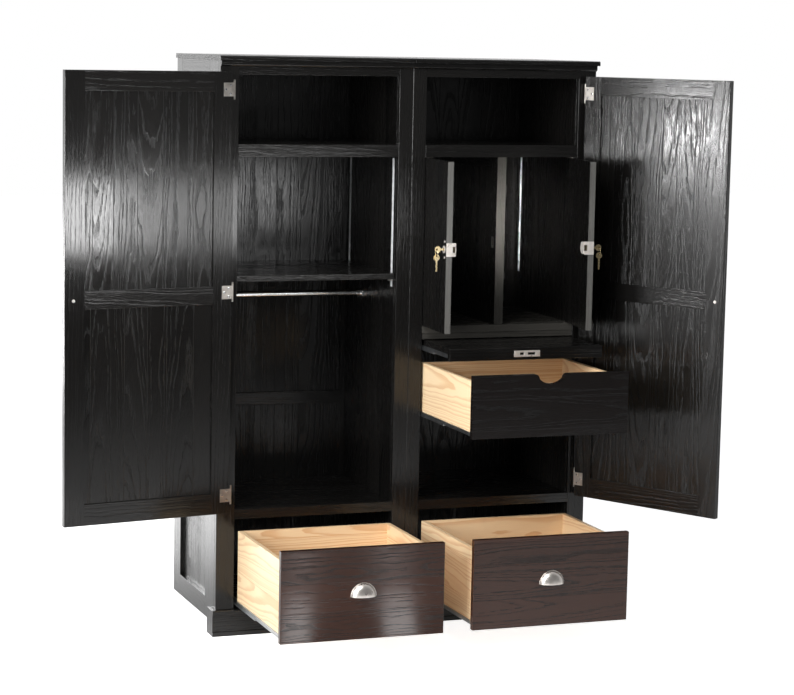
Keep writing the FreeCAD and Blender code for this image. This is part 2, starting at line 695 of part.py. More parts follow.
# ---- drawers ----
def drawer_box(z0, height):
    """Sides, inner front, back and bottom of a drawer box in the right bay, pushed in."""
    x0, x1 = BAY_X0 + BOX_SIDE_GAP, BAY_X1 - BOX_SIDE_GAP
    y0, y1 = BOARD, BOARD + BOX_LENGTH
    z1 = z0 + height
    in0, in1 = x0 + BOX_WALL, x1 - BOX_WALL
    bottom_z = z0 + BOX_BOTTOM_UP
    return [block(x0, in0, y0, y1, z0, z1), block(in1, x1, y0, y1, z0, z1),
            block(in0, in1, y0, y0 + BOX_WALL, z0, z1),
            block(in0, in1, y1 - BOX_WALL, y1, z0, z1),
            block(in0, in1, y0 + BOX_WALL, y1 - BOX_WALL, bottom_z, bottom_z + BOX_BOTTOM_T)]


def pull_screw_line(radius, x):
    """A screw's way through the drawer front and the box front."""
    return rod(radius, V(x, 0, PULL_Z + PULL_BOSS_Z), Y_AXIS, BOARD + BOX_WALL)


def pull_dome(width, depth, height):
    """The quarter of an egg shape that a cup pull is made from."""
    egg = Part.makeSphere(1.0)
    scale = FreeCAD.Matrix()
    scale.scale(V(width / 2, depth, height))
    egg = egg.transformGeometry(scale)
    keep = block(-width, width, -2 * depth, 0, 0, 2 * height)
    dome = egg.common(keep)
    dome.translate(V(BAY_MID, 0, PULL_Z))
    return dome


def cup_pull():
    """A half-dome pull with two screw bosses, and its screws from the inside."""
    dome = pull_dome(PULL_W, PULL_D, PULL_H)
    inside = pull_dome(PULL_W - 2 * PULL_WALL, PULL_D - PULL_WALL, PULL_H - PULL_WALL)
    cup = dome.cut(inside)
    screws = []
    for x in (BAY_MID - PULL_BOSS_X, BAY_MID + PULL_BOSS_X):
        boss = rod(PULL_BOSS_R, V(x, -PULL_BOSS_D, PULL_Z + PULL_BOSS_Z), Y_AXIS, PULL_BOSS_D)
        cup = cup.fuse(boss.common(dome))
        end = V(x, BOARD + BOX_WALL, PULL_Z + PULL_BOSS_Z)
        head = rod(SCREW_HEAD_R, end, Y_AXIS, SCREW_HEAD_T)
        screws.append(pull_screw_line(SCREW_R, x).fuse(head))
    return [cup.removeSplitter()] + screws


def bottom_drawer():
    """A bottom drawer of the right cabinet, pushed in."""
    z0 = PLINTH_H + FRONT_GAP_Z
    z1 = RAIL_Z0 - FRONT_GAP_Z
    front = block(BAY_X0 + FRONT_GAP, BAY_X1 - FRONT_GAP, 0, BOARD, z0, z1)
    box_z = z0 + BOX_RAISE
    box = drawer_box(box_z, BOX_H)
    for x in (BAY_MID - PULL_BOSS_X, BAY_MID + PULL_BOSS_X):
        hole = pull_screw_line(SCREW_R + SCREW_FIT, x)
        front = front.cut(hole)
        box[2] = box[2].cut(hole)
    return front, box, cup_pull(), slides(BAY_X0, BAY_X1, box_z)


def bottom_drawers():
    """Both bottom drawers, pulled out, and their fixed slide members."""
    front, box, pull, (fixed, middle, moving) = bottom_drawer()
    for side, out in (("right", RIGHT_DRAWER_OUT), ("left", LEFT_DRAWER_OUT)):
        sets = (("front", [front], out), ("box", box, out), ("pull", pull, out),
                ("slides", moving, out), ("mid_slides", middle, out / 2))
        for name, shapes, way in sets:
            if side == "left":
                shapes = [across(s) for s in shapes]
            save("%s_drawer_%s" % (side, name), [moved(s, -way) for s in shapes])
    return both(fixed)


def notched_front():
    """The inner drawer's front with a finger notch in its top edge."""
    z1 = INNER_Z0 + INNER_FRONT_H
    front = block(BAY_X0 + FRONT_GAP, BAY_X1 - FRONT_GAP, 0, BOARD, INNER_Z0, z1)
    half = NOTCH_W / 2
    corner = half - NOTCH_LIP_R
    bend = NOTCH_LIP_R * (1 - math.sqrt(0.5))
    tilt = NOTCH_LIP_R * math.sqrt(0.5)
    lips = []
    for way in (-1, 1):
        lips.append(Part.Arc(V(BAY_MID + way * half, 0, z1),
                             V(BAY_MID + way * (half - tilt), 0, z1 - bend),
                             V(BAY_MID + way * corner, 0, z1 - NOTCH_LIP_R)).toShape())
    dip = Part.Arc(V(BAY_MID - corner, 0, z1 - NOTCH_LIP_R), V(BAY_MID, 0, z1 - NOTCH_D),
                   V(BAY_MID + corner, 0, z1 - NOTCH_LIP_R)).toShape()
    lid = Part.makePolygon([V(BAY_MID + half, 0, z1), V(BAY_MID + half, 0, z1 + NOTCH_D),
                            V(BAY_MID - half, 0, z1 + NOTCH_D), V(BAY_MID - half, 0, z1)])
    edges = Part.sortEdges([lips[0], dip, lips[1]] + lid.Edges)[0]
    notch = Part.Face(Part.Wire(edges)).extrude(V(0, BOARD, 0))
    return front.cut(notch)


def inner_drawer():
    """The drawer inside the right bay, pulled out; returns its fixed slide members."""
    box_z = INNER_Z0 + INNER_BOX_RAISE
    fixed, middle, moving = slides(BAY_X0, BAY_X1, box_z)
    box = drawer_box(box_z, INNER_BOX_H)
    z_notch = INNER_Z0 + INNER_FRONT_H - NOTCH_D
    box[2] = box[2].common(block(0, HALF, 0, CASE_D, 0, z_notch))
    sets = (("front", [notched_front()], INNER_OUT), ("box", box, INNER_OUT),
            ("slides", moving, INNER_OUT), ("mid_slides", middle, INNER_OUT / 2))
    for name, shapes, way in sets:
        save("inner_drawer_" + name, [moved(s, -way) for s in shapes])
    return fixed


def lock_plate():
    """The plate on the tray's front edge, with its slots."""
    z = (TRAY_Z0 + TRAY_Z1) / 2
    half_w, half_h = LOCK_PLATE_W / 2, LOCK_PLATE_H / 2
    plate = block(BAY_MID - half_w, BAY_MID + half_w, -LOCK_PLATE_T, 0, z - half_h, z + half_h)
    slots = ((LOCK_PLATE_SMALL_X, LOCK_PLATE_SMALL_W), (LOCK_PLATE_WIDE_X, LOCK_PLATE_WIDE_W))
    for offset, width in slots:
        x = BAY_MID + offset
        plate = plate.cut(block(x - width / 2, x + width / 2, -LOCK_PLATE_T, 0,
                                z - LOCK_PLATE_SLOT_H / 2, z + LOCK_PLATE_SLOT_H / 2))
    screws = []
    for way in (-1, 1):
        start = V(BAY_MID + way * (half_w - LOCK_PLATE_SCREW_IN), -LOCK_PLATE_T, z)
        screws.append(rod(SCREW_HEAD_R, start, -Y_AXIS, LOCK_PLATE_HEAD_T))
    return [plate] + screws


def tray():
    """The pull-out tray, pulled out; returns its fixed slide members."""
    deck_z = TRAY_Z1 - BOARD
    fixed, middle, moving = slides(BAY_X0, BAY_X1, deck_z)
    edge = block(BAY_X0 + FRONT_GAP, BAY_X1 - FRONT_GAP, 0, BOARD, TRAY_Z0, TRAY_Z1)
    deck = block(BAY_X0 + BOX_SIDE_GAP, BAY_X1 - BOX_SIDE_GAP, BOARD, BOARD + BOX_LENGTH,
                 deck_z, TRAY_Z1)
    sets = (("boards", [edge, deck], TRAY_OUT), ("lock_plate", lock_plate(), TRAY_OUT),
            ("slides", moving, TRAY_OUT), ("mid_slides", middle, TRAY_OUT / 2))
    for name, shapes, way in sets:
        save("tray_" + name, [moved(s, -way) for s in shapes])
    return fixed


# ---- locker ----
def divider():
    """Frame and panel between the two locker compartments."""
    x0, x1 = DIVIDER_X0, DIVIDER_X0 + DIVIDER_T
    z0, z1 = LOCKER_FLOOR_Z, SHELF_TOP_Z - BOARD
    back_y = BACK_Y - DIVIDER_STILE
    front = block(x0, x1, 0, DIVIDER_STILE, z0, z1)
    front = front.cut(block(x0, x1, 0, FRAME_T, LOCKER_TOP, z1))
    back = block(x0, x1, back_y, BACK_Y, z0, z1)
    rails = [block(x0, x1, DIVIDER_STILE, back_y, z0, z0 + DIVIDER_RAIL),
             block(x0, x1, DIVIDER_STILE, back_y, z1 - DIVIDER_RAIL, z1)]
    half = DIVIDER_PANEL_T / 2
    panel = block(BAY_MID - half, BAY_MID + half, DIVIDER_STILE - GROOVE, back_y + GROOVE,
                  z0 + DIVIDER_RAIL - GROOVE, z1 - DIVIDER_RAIL + GROOVE)
    pocket = strike_pocket()
    front = front.cut(pocket).cut(across(pocket, BAY_MID))
    return framed(panel, [front, back] + rails) + [panel]


def strike_pocket():
    """The seat of the left strike plate and the hole for its bolt."""
    half = STRIKE_H / 2
    seat = block(DIVIDER_X0, DIVIDER_X0 + STRIKE_T, STRIKE_Y, STRIKE_Y + STRIKE_W,
                 LOCK_Z - half, LOCK_Z + half)
    return seat.fuse(bolt_hole(DIVIDER_X0, DIVIDER_X0 + BOLT_THROW))


def bolt_hole(x0, x1):
    """The clear way of the left bolt from x0 to x1."""
    half_t = BOLT_T / 2 + BOLT_RUN
    half_h = BOLT_H / 2 + BOLT_RUN
    return block(x0, x1, BOLT_Y - half_t, BOLT_Y + half_t, LOCK_Z - half_h, LOCK_Z + half_h)


def strike():
    """The left strike: a plate let into the divider, with a hole for the bolt."""
    half = STRIKE_H / 2
    plate = block(DIVIDER_X0, DIVIDER_X0 + STRIKE_T, STRIKE_Y, STRIKE_Y + STRIKE_W,
                  LOCK_Z - half, LOCK_Z + half)
    return plate.cut(bolt_hole(DIVIDER_X0, DIVIDER_X0 + STRIKE_T))


def locker_case():
    """Floor, front rail, divider, strikes and pivots of the locker."""
    z1 = LOCKER_FLOOR_Z
    edge = block(BAY_X0, BAY_X1, 0, FRAME_T, z1 - LOCKER_EDGE_H, z1)
    board = block(BAY_X0, BAY_X1, FRAME_T, BACK_Y, z1 - BOARD, z1)
    rail_z = z1 - LOCKER_EDGE_H
    rail = block(BAY_X0, BAY_X1, LOCKER_RAIL_IN, FRAME_T, rail_z - LOCKER_RAIL_H, rail_z)
    save("locker_floor", [edge, board, rail])
    save("locker_divider", divider())
    save("locker_strikes", [strike(), across(strike(), BAY_MID)])
    pivots = [pivot(LOCKER_FLOOR_Z, 1), pivot(LOCKER_TOP, -1)]
    save("locker_pivots", pivots + [across(p, BAY_MID) for p in pivots])


def pivot(z, way):
    """A pivot plate with the pin that the left locker door turns on."""
    top = z + way * PIVOT_PLATE_T
    plate = block(BAY_X0, BAY_X0 + PIVOT_PLATE_L, PIVOT_Y - PIVOT_PLATE_W / 2,
                  PIVOT_Y + PIVOT_PLATE_W / 2, z, top)
    pin = rod(PIVOT_R, V(PIVOT_X, PIVOT_Y, top), V(0, 0, way), PIVOT_L)
    return plate.fuse(pin)


def locker_door():
    """The left locker door, shut: a board with a rounded hinge edge."""
    radius = BOARD / 2
    z0, z1 = LOCKER_DOOR_Z0, LOCKER_DOOR_Z1
    board = block(PIVOT_X, LOCKER_DOOR_X1, LOCKER_DOOR_Y, LOCKER_DOOR_BACK, z0, z1)
    board = board.fuse(rod(radius, V(PIVOT_X, PIVOT_Y, z0), Z_AXIS, z1 - z0)).removeSplitter()
    holes = [rod(PIVOT_R + PIVOT_RUN, V(PIVOT_X, PIVOT_Y, z0), Z_AXIS, PIVOT_HOLE_L),
             rod(PIVOT_R + PIVOT_RUN, V(PIVOT_X, PIVOT_Y, z1), -Z_AXIS, PIVOT_HOLE_L),
             rod(CYLINDER_R + CYLINDER_FIT, V(CYLINDER_X, LOCKER_DOOR_Y, LOCK_Z), Y_AXIS, BOARD)]
    return board.cut(Part.makeCompound(holes))


def lock_body():
    """The left door's lock: case, edge plate, cylinder, rosette and two bolt heads."""
    back = LOCKER_DOOR_BACK
    half = LOCK_CASE_R
    x1 = LOCKER_DOOR_X1 - LOCK_CASE_IN
    round_x = x1 - LOCK_CASE_W + LOCK_CASE_R
    case_block = block(round_x, x1, back, back + LOCK_CASE_D, LOCK_Z - half, LOCK_Z + half)
    round_end = rod(LOCK_CASE_R, V(round_x, back, LOCK_Z), Y_AXIS, LOCK_CASE_D)
    face = block(LOCKER_DOOR_X1, LOCKER_DOOR_X1 + LOCK_FACE_T, LOCKER_DOOR_Y,
                 LOCKER_DOOR_Y + LOCK_FACE_D, LOCK_Z - LOCK_FACE_H / 2, LOCK_Z + LOCK_FACE_H / 2)
    tab = block(x1, LOCKER_DOOR_X1, back, LOCKER_DOOR_Y + LOCK_FACE_D, LOCK_Z - half, LOCK_Z + half)
    barrel = rod(CYLINDER_R, V(CYLINDER_X, LOCKER_DOOR_Y, LOCK_Z), Y_AXIS, BOARD)
    rosette = rod(ROSETTE_R, V(CYLINDER_X, LOCKER_DOOR_Y - ROSETTE_T, LOCK_Z), Y_AXIS, ROSETTE_T)
    body = case_block.fuse([round_end, face, tab, barrel, rosette])
    body = body.cut(bolt_hole(BOLT_X1 - BOLT_L - BOLT_RUN, LOCKER_DOOR_X1 + LOCK_FACE_T))
    plug_way = rod(PLUG_R + PLUG_RUN, V(CYLINDER_X, LOCKER_DOOR_Y - ROSETTE_T, LOCK_Z), Y_AXIS,
                   BOARD + ROSETTE_T)
    heads = []
    for way in (-1, 1):
        start = V(LOCKER_DOOR_X1 - LOCK_BOLT_IN, LOCKER_DOOR_Y, LOCK_Z + way * LOCK_BOLT_UP)
        heads.append(rod(LOCK_BOLT_R, start, -Y_AXIS, LOCK_BOLT_T))
    return [body.cut(plug_way).removeSplitter()] + heads


def lock_bolt():
    """The left door's bolt, drawn back."""
    return block(BOLT_X1 - BOLT_L, BOLT_X1, BOLT_Y - BOLT_T / 2, BOLT_Y + BOLT_T / 2,
                 LOCK_Z - BOLT_H / 2, LOCK_Z + BOLT_H / 2)


def key_blank(length, z_top, y):
    """A flat key that hangs from z_top: a round bow with a hole, and its blade."""
    half = KEY_T / 2
    centre = V(CYLINDER_X, y - half, z_top - KEY_BOW_R)
    bow = rod(KEY_BOW_R, centre, Y_AXIS, KEY_T)
    blade_w = SPARE_KEY_W / 2
    blade = block(CYLINDER_X - blade_w, CYLINDER_X + blade_w, y - half, y + half,
                  centre.z - KEY_BOW_R - length, centre.z)
    hole = rod(KEY_BOW_HOLE_R, V(CYLINDER_X, y - half, z_top - KEY_BOW_HOLE_R * 1.6), Y_AXIS, KEY_T)
    return bow.fuse(blade).cut(hole).removeSplitter()


def lock_key():
    """The plug with the key in it, the ring on its bow and the spare key on the ring."""
    face_y = LOCKER_DOOR_Y - ROSETTE_T
    plug = rod(PLUG_R, V(CYLINDER_X, face_y, LOCK_Z), Y_AXIS, BOARD)
    neck_half = SPARE_KEY_W / 2
    half = KEY_T / 2
    bow_y = face_y - KEY_NECK_L - KEY_BOW_R
    neck = block(CYLINDER_X - half, CYLINDER_X + half, bow_y, face_y, LOCK_Z - neck_half,
                 LOCK_Z + neck_half)
    bow = rod(KEY_BOW_R, V(CYLINDER_X - half, bow_y, LOCK_Z), X_AXIS, KEY_T)
    hole_y = bow_y - KEY_BOW_R + 2 * KEY_BOW_HOLE_R
    hole = rod(KEY_BOW_HOLE_R, V(CYLINDER_X - half, hole_y, LOCK_Z), X_AXIS, KEY_T)
    key = plug.fuse([neck, bow]).cut(hole).removeSplitter()
    ring_z = LOCK_Z - KEY_RING_R + KEY_RING_WIRE * 1.5
    ring = Part.makeTorus(KEY_RING_R, KEY_RING_WIRE, V(CYLINDER_X, hole_y, ring_z), Y_AXIS)
    spare_top = ring_z - KEY_RING_R + KEY_BOW_HOLE_R * 2.2
    spare = key_blank(SPARE_KEY_L, spare_top, hole_y)
    spare.rotate(V(CYLINDER_X, hole_y, ring_z - KEY_RING_R), Z_AXIS, 90)
    return [key, ring, spare]


def locker_doors():
    """Both locker doors, opened, each with its lock, bolt and key."""
    sets = (("panel", [locker_door()]), ("lock", lock_body()), ("bolt", [lock_bolt()]),
            ("key", lock_key()))
    right_x = 2 * BAY_MID - PIVOT_X
    for name, shapes in sets:
        left = [turned(s, PIVOT_X, PIVOT_Y, -LOCKER_LEFT_OPEN) for s in shapes]
        right = [turned(across(s, BAY_MID), right_x, PIVOT_Y, LOCKER_RIGHT_OPEN) for s in shapes]
        save("locker_left_" + name, left)
        save("locker_right_" + name, right)


def main():
    """Builds every node."""
    os.makedirs("parts", exist_ok=True)
    case()
    bay_fittings()
    doors()
    fixed = bottom_drawers() + inner_drawer() + tray()
    save("fixed_slides", fixed)
    locker_case()
    locker_doors()


main()
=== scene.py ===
"""Dresses a black-stained two-bay armoire: boards, drawers, locker, hardware and studio."""

import logging
import math
import random
from dataclasses import dataclass, field
from enum import Enum
from functools import partial

import bmesh
import bpy
from bmesh.types import BMesh, BMFace, BMVert
from bpy.types import Material, Mesh, Node, NodeSocket, NodeTree, Object
from mathutils import Matrix, Vector
from mathutils.bvhtree import BVHTree


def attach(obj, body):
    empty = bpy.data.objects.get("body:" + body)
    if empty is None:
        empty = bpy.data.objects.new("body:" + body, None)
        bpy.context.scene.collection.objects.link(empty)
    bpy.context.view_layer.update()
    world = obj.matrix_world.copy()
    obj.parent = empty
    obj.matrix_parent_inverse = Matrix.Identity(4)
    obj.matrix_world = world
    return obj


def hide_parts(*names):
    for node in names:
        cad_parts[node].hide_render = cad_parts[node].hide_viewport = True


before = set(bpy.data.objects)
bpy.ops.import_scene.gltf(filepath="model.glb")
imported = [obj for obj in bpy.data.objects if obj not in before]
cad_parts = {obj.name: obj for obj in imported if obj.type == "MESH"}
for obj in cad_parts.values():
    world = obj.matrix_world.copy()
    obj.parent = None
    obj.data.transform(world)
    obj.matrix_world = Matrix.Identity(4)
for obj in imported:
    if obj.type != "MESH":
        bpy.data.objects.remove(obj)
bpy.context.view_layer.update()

LOG = logging.getLogger("armoire")
MM = 0.001

BAY_MIDDLE_X = 0.3105
# Points closer than this are one, and boards closer than the seam gap touch.
SAME_PLACE = 0.00001
SEAM_GAP = 0.0002
# Faces that turn less than this lie in one plane.
FLAT_DEGREES = 0.5
# Cosines of the angle to a direction: roughly towards it, and straight along it.
TOWARD = 0.35
STRAIGHT = 0.9
# Decimals that tell two areas or two places apart.
AREA_DIGITS = 7
PLACE_DIGITS = 4
UP = Vector((0.0, 0.0, 1.0))
SMOOTH = {"interpolation_type": "SMOOTHSTEP"}


class Slot(Enum):
    """Material slots of the record."""

    OAK = "black_oak"
    PINE = "pine"
    NICKEL = "nickel"
    ZINC = "zinc_steel"
    BRASS = "brass"


def linear(hex_colour: str) -> tuple[float, float, float, float]:
    """Turns an sRGB hex colour into linear light.

    Args:
        hex_colour: six hex digits.

    Returns:
        Red, green, blue and an alpha of 1.
    """
    parts = [int(hex_colour[i:i + 2], 16) / 255 for i in (0, 2, 4)]
    lit = [c / 12.92 if c <= 0.04045 else ((c + 0.055) / 1.055) ** 2.4 for c in parts]
    return (lit[0], lit[1], lit[2], 1.0)


def add_node(
    tree: NodeTree, kind: str, given: list | dict | None = None, **settings: object
) -> Node:
    """Adds a shader node with its settings and links.

    Args:
        tree: the material's node tree.
        kind: the node's type name without its ShaderNode prefix.
        given: the inputs, as a list in the node's order or a dict by name or index. Each is a
            constant, another node's output, or a node, which stands for its first output.
        settings: attributes to set on the node.

    Returns:
        The new node.
    """
    made = tree.nodes.new("ShaderNode" + kind)
    for name, value in settings.items():
        setattr(made, name, value)
    pairs = given.items() if isinstance(given, dict) else enumerate(given or [])
    for name, value in pairs:
        if isinstance(value, Node):
            value = value.outputs[0]
        if isinstance(value, NodeSocket):
            tree.links.new(value, made.inputs[name])
        else:
            made.inputs[name].default_value = value
    return made


def new_material(name: str) -> tuple[Material, NodeTree]:
    """Makes an empty node material.

    Args:
        name: the material's name.

    Returns:
        The material and its cleared node tree.
    """
    material = bpy.data.materials.new(name)
    material.use_nodes = True
    material.node_tree.nodes.clear()
    return material, material.node_tree


def add_surface(
    tree: NodeTree, blend: Node, tones: tuple[str, str], relief: tuple[float, float, Node],
    settings: dict[str, object]
) -> None:
    """Adds the shader of a surface that has two tones and a relief.

    Args:
        tree: the material's node tree.
        blend: gives 0 where the first tone shows and 1 where the second does.
        tones: two sRGB hex colours.
        relief: the bump's strength, its depth in metres and the node of its height.
        settings: the shader's other inputs.
    """
    node = partial(add_node, tree)
    colour = node("Mix", {0: blend, 6: linear(tones[0]), 7: linear(tones[1])}, data_type="RGBA")
    bump = node("Bump", dict(zip(("Strength", "Distance", "Height"), relief)))
    shader = node("BsdfPrincipled", {**settings, "Base Color": colour.outputs[2], "Normal": bump})
    node("OutputMaterial", [shader])


@dataclass(frozen=True)
class WoodGrain:
    """The growth rings and pores of one kind of wood, read from the board attributes."""

    stave: float
    ring: float
    lean: float
    pith_depth: float
    pore_width: float
    pore_length: float
    sway: float = 0.020
    beside: float = 0.085
    shallowest: float = 0.3
    heart_blur: float = 0.0004
    stave_step: float = 37.0
    uneven_years: float = 2.2

    def staves(self, tree: NodeTree) -> dict[str, NodeSocket]:
        """Adds the nodes that tell which stave of the board a point is in.

        Args:
            tree: the material's node tree.

        Returns:
            Outputs named glued (1 in a board of staves), across, depth and along (metres in
            the stave), pick, side and tilt (random for each stave) and joint (metres to the
            nearest glue line).
        """
        node = partial(add_node, tree)
        board = node("Attribute", attribute_name="board").outputs["Vector"]
        place = node("SeparateXYZ", [board]).outputs
        cut = node("Attribute", attribute_name="cut").outputs["Vector"]
        glued, number, _ = node("SeparateXYZ", [cut]).outputs
        row = node("Math", [place[0], self.stave], operation="DIVIDE")
        row = node("Math", [row, glued, number], operation="MULTIPLY_ADD").outputs[0]
        cells = {"W": row, "Scale": 1.0, "Randomness": 0.8}
        cell = node("TexVoronoi", cells, voronoi_dimensions="1D").outputs
        border = node("TexVoronoi", cells, voronoi_dimensions="1D",
                      feature="DISTANCE_TO_EDGE").outputs["Distance"]
        # A single board keeps its own middle, and a glued-up board uses each stave's.
        in_cell = node("Math", [row, cell["W"]], operation="SUBTRACT")
        in_cell = node("Math", [in_cell, self.stave], operation="MULTIPLY")
        shift = node("Math", [in_cell, place[0]], operation="SUBTRACT")
        across = node("Math", [shift, glued, place[0]], operation="MULTIPLY_ADD")
        single = node("Math", [1.0, glued], operation="SUBTRACT")
        joint = node("Math", [border, self.stave, single], operation="MULTIPLY_ADD")
        pick, side, tilt = node("SeparateColor", [cell["Color"]]).outputs
        return {"glued": glued, "across": across.outputs[0], "depth": place[1],
                "along": place[2], "pick": pick, "side": side, "tilt": tilt,
                "joint": joint.outputs[0]}

    def radius(self, tree: NodeTree, found: dict[str, NodeSocket], apart: Node) -> Node:
        """Adds the nodes that measure how far a point lies from the heart of its log.

        The heart lies behind the face and leans along the board, so a stave shows arches over
        the heart and straight lines beside it.

        Args:
            tree: the material's node tree.
            found: the outputs of staves.
            apart: a number of its own for each stave.

        Returns:
            The node that gives the distance in metres, with the log's slow sway.
        """
        node = partial(add_node, tree)
        aside = node("Math", [found["pick"], 0.5], operation="SUBTRACT")
        aside = node("Math", [aside, self.stave * 1.5, self.beside], operation="MULTIPLY_ADD")
        # A single narrow board is cut beside the heart, so its lines run straight.
        aside = node("Math", [found["glued"], -self.beside, aside], operation="MULTIPLY_ADD")
        x = node("Math", [found["across"], aside], operation="ADD")
        lean = node("Math", [found["tilt"], self.lean * 2, -self.lean], operation="MULTIPLY_ADD")
        least_depth = self.pith_depth * self.shallowest
        y = node("Math", [found["side"], self.pith_depth, least_depth], operation="MULTIPLY_ADD")
        y = node("Math", [found["along"], lean, y], operation="MULTIPLY_ADD")
        y = node("Math", [y, found["depth"]], operation="ADD")
        square = node("Math", [x, x, self.heart_blur], operation="MULTIPLY_ADD")
        square = node("Math", [y, y, square], operation="MULTIPLY_ADD")
        radius = node("Math", [square], operation="SQRT")
        for across, along, sway in ((13.0, 3.5, self.sway), (90.0, 14.0, self.sway * 0.11)):
            slow = node("CombineXYZ", [
                node("Math", [x, across], operation="MULTIPLY"),
                node("Math", [y, across, apart], operation="MULTIPLY_ADD"),
                node("Math", [found["along"], along], operation="MULTIPLY")])
            warp = node("TexNoise", {
                "Vector": slow, "Scale": 1.0, "Detail": 2.0, "Roughness": 0.5})
            radius = node("Math", [warp, sway, radius], operation="MULTIPLY_ADD")
        return radius

    def rings(self, tree: NodeTree) -> dict[str, NodeSocket]:
        """Adds the nodes of the grain.

        Args:
            tree: the material's node tree.

        Returns:
            The outputs of staves, with ring (0 to 1 across each year) and pores (a stretched
            noise) added.
        """
        node = partial(add_node, tree)
        found = self.staves(tree)
        apart = node("Math", [found["tilt"], self.stave_step], operation="MULTIPLY")
        years = node("Math", [self.radius(tree, found, apart), self.ring], operation="DIVIDE")
        uneven = node("TexNoise", {
            "W": node("Math", [years, apart], operation="ADD"), "Scale": 0.45, "Detail": 1.0},
            noise_dimensions="1D")
        years = node("Math", [uneven, self.uneven_years, years], operation="MULTIPLY_ADD")
        fine = node("CombineXYZ", [
            node("Math", [found["across"], self.pore_width], operation="DIVIDE"),
            node("Math", [found["depth"], self.pore_width], operation="DIVIDE"),
            node("Math", [found["along"], self.pore_length], operation="DIVIDE")])
        pores = node("TexNoise", {"Vector": fine, "Scale": 1.0, "Detail": 2.0, "Roughness": 0.6})
        ring = node("Math", [years], operation="FRACT")
        return {**found, "ring": ring.outputs[0], "pores": pores.outputs[0]}


@dataclass(frozen=True)
class StainedOak:
    """Open-grain oak, stained black and lacquered.

    The eye sees near-black boards whose spring wood and pores sit lower than the rest, so the
    lacquer's shine breaks into dark and light lines. Rings are drawn 8.6 mm apart, coarser
    than most oak, so that they show from across a room. A mid grey copy on the locker doors'
    front edges and a charcoal copy on the divider's front edges and the locker's floor are
    painted highlight: lighter oak for the light that falls on them from the front.
    """

    name: str
    summer_tone: str = "131211"
    pore_tone: str = "040404"
    gloss: float = 0.15
    pore_gloss: float = 0.38
    depth: float = 0.00045
    spring_end: tuple[float, float] = (0.50, 0.08)
    spring_start: tuple[float, float] = (0.92, 1.0)
    pores: tuple[float, float] = (0.42, 0.62)
    open_share: float = 0.6
    summer_pore: float = 0.25
    single_share: float = 0.55
    seam: tuple[float, float] = (0.0012, 0.0002)
    tone_spread: float = 0.25
    gloss_spread: float = 0.04
    slope_spread: float = 8.0
    grain: WoodGrain = field(default_factory=lambda: WoodGrain(
        stave=0.085, ring=0.0086, lean=0.060, pith_depth=0.080, pore_width=0.0022,
        pore_length=0.034))

    def sunk(self, tree: NodeTree, grain: dict[str, NodeSocket]) -> Node:
        """Adds the nodes that tell how far the surface sinks into the grain.

        Args:
            tree: the material's node tree.
            grain: the outputs of rings.

        Returns:
            The node that gives 0 on the summer wood and 1 in a pore.
        """
        node = partial(add_node, tree)
        # Spring wood fills the first third of a year's ring and holds the open pores.
        early = node("Math", [
            node("MapRange", [grain["ring"], *self.spring_end], **SMOOTH),
            node("MapRange", [grain["ring"], *self.spring_start], **SMOOTH)],
            operation="MAXIMUM")
        pore = node("MapRange", [grain["pores"], *self.pores], **SMOOTH)
        open_pore = node("Math", [pore, self.open_share, 1 - self.open_share],
                         operation="MULTIPLY_ADD")
        sunk = node("Math", [early, open_pore], operation="MULTIPLY")
        sunk = node("Math", [sunk, node("Math", [pore, self.summer_pore], operation="MULTIPLY")],
                    operation="MAXIMUM")
        # The grain of a single narrow board is quieter than that of a glued-up one.
        plain = node("Math", [grain["glued"], 1 - self.single_share, self.single_share],
                     operation="MULTIPLY_ADD")
        sunk = node("Math", [sunk, plain], operation="MULTIPLY")
        seam = node("MapRange", [grain["joint"], *self.seam], **SMOOTH)
        return node("Math", [sunk, seam], operation="MAXIMUM")

    def material(self) -> Material:
        """Builds the material.

        Returns:
            The material.
        """
        material, tree = new_material(self.name)
        node = partial(add_node, tree)
        grain = self.grain.rings(tree)
        sunk = self.sunk(tree, grain)
        # Each stave has its own tone and gloss, and was sanded at a slightly different slope.
        shade, uneven, slope = (
            node("Math", [grain[chance], 2 * spread, -spread], operation="MULTIPLY_ADD")
            for chance, spread in (("pick", self.tone_spread), ("side", self.gloss_spread),
                                   ("side", self.slope_spread)))
        tone = node("Math", [shade, sunk], operation="ADD", use_clamp=True)
        gloss = node("MapRange", [sunk, 0.0, 1.0, self.gloss, self.pore_gloss])
        slope = node("Math", [grain["across"], slope], operation="MULTIPLY")
        height = node("Math", [slope, sunk], operation="SUBTRACT")
        add_surface(tree, tone, (self.summer_tone, self.pore_tone), (1.0, self.depth, height), {
            "IOR": 1.5, "Roughness": node("Math", [gloss, uneven], operation="ADD")})
        return material


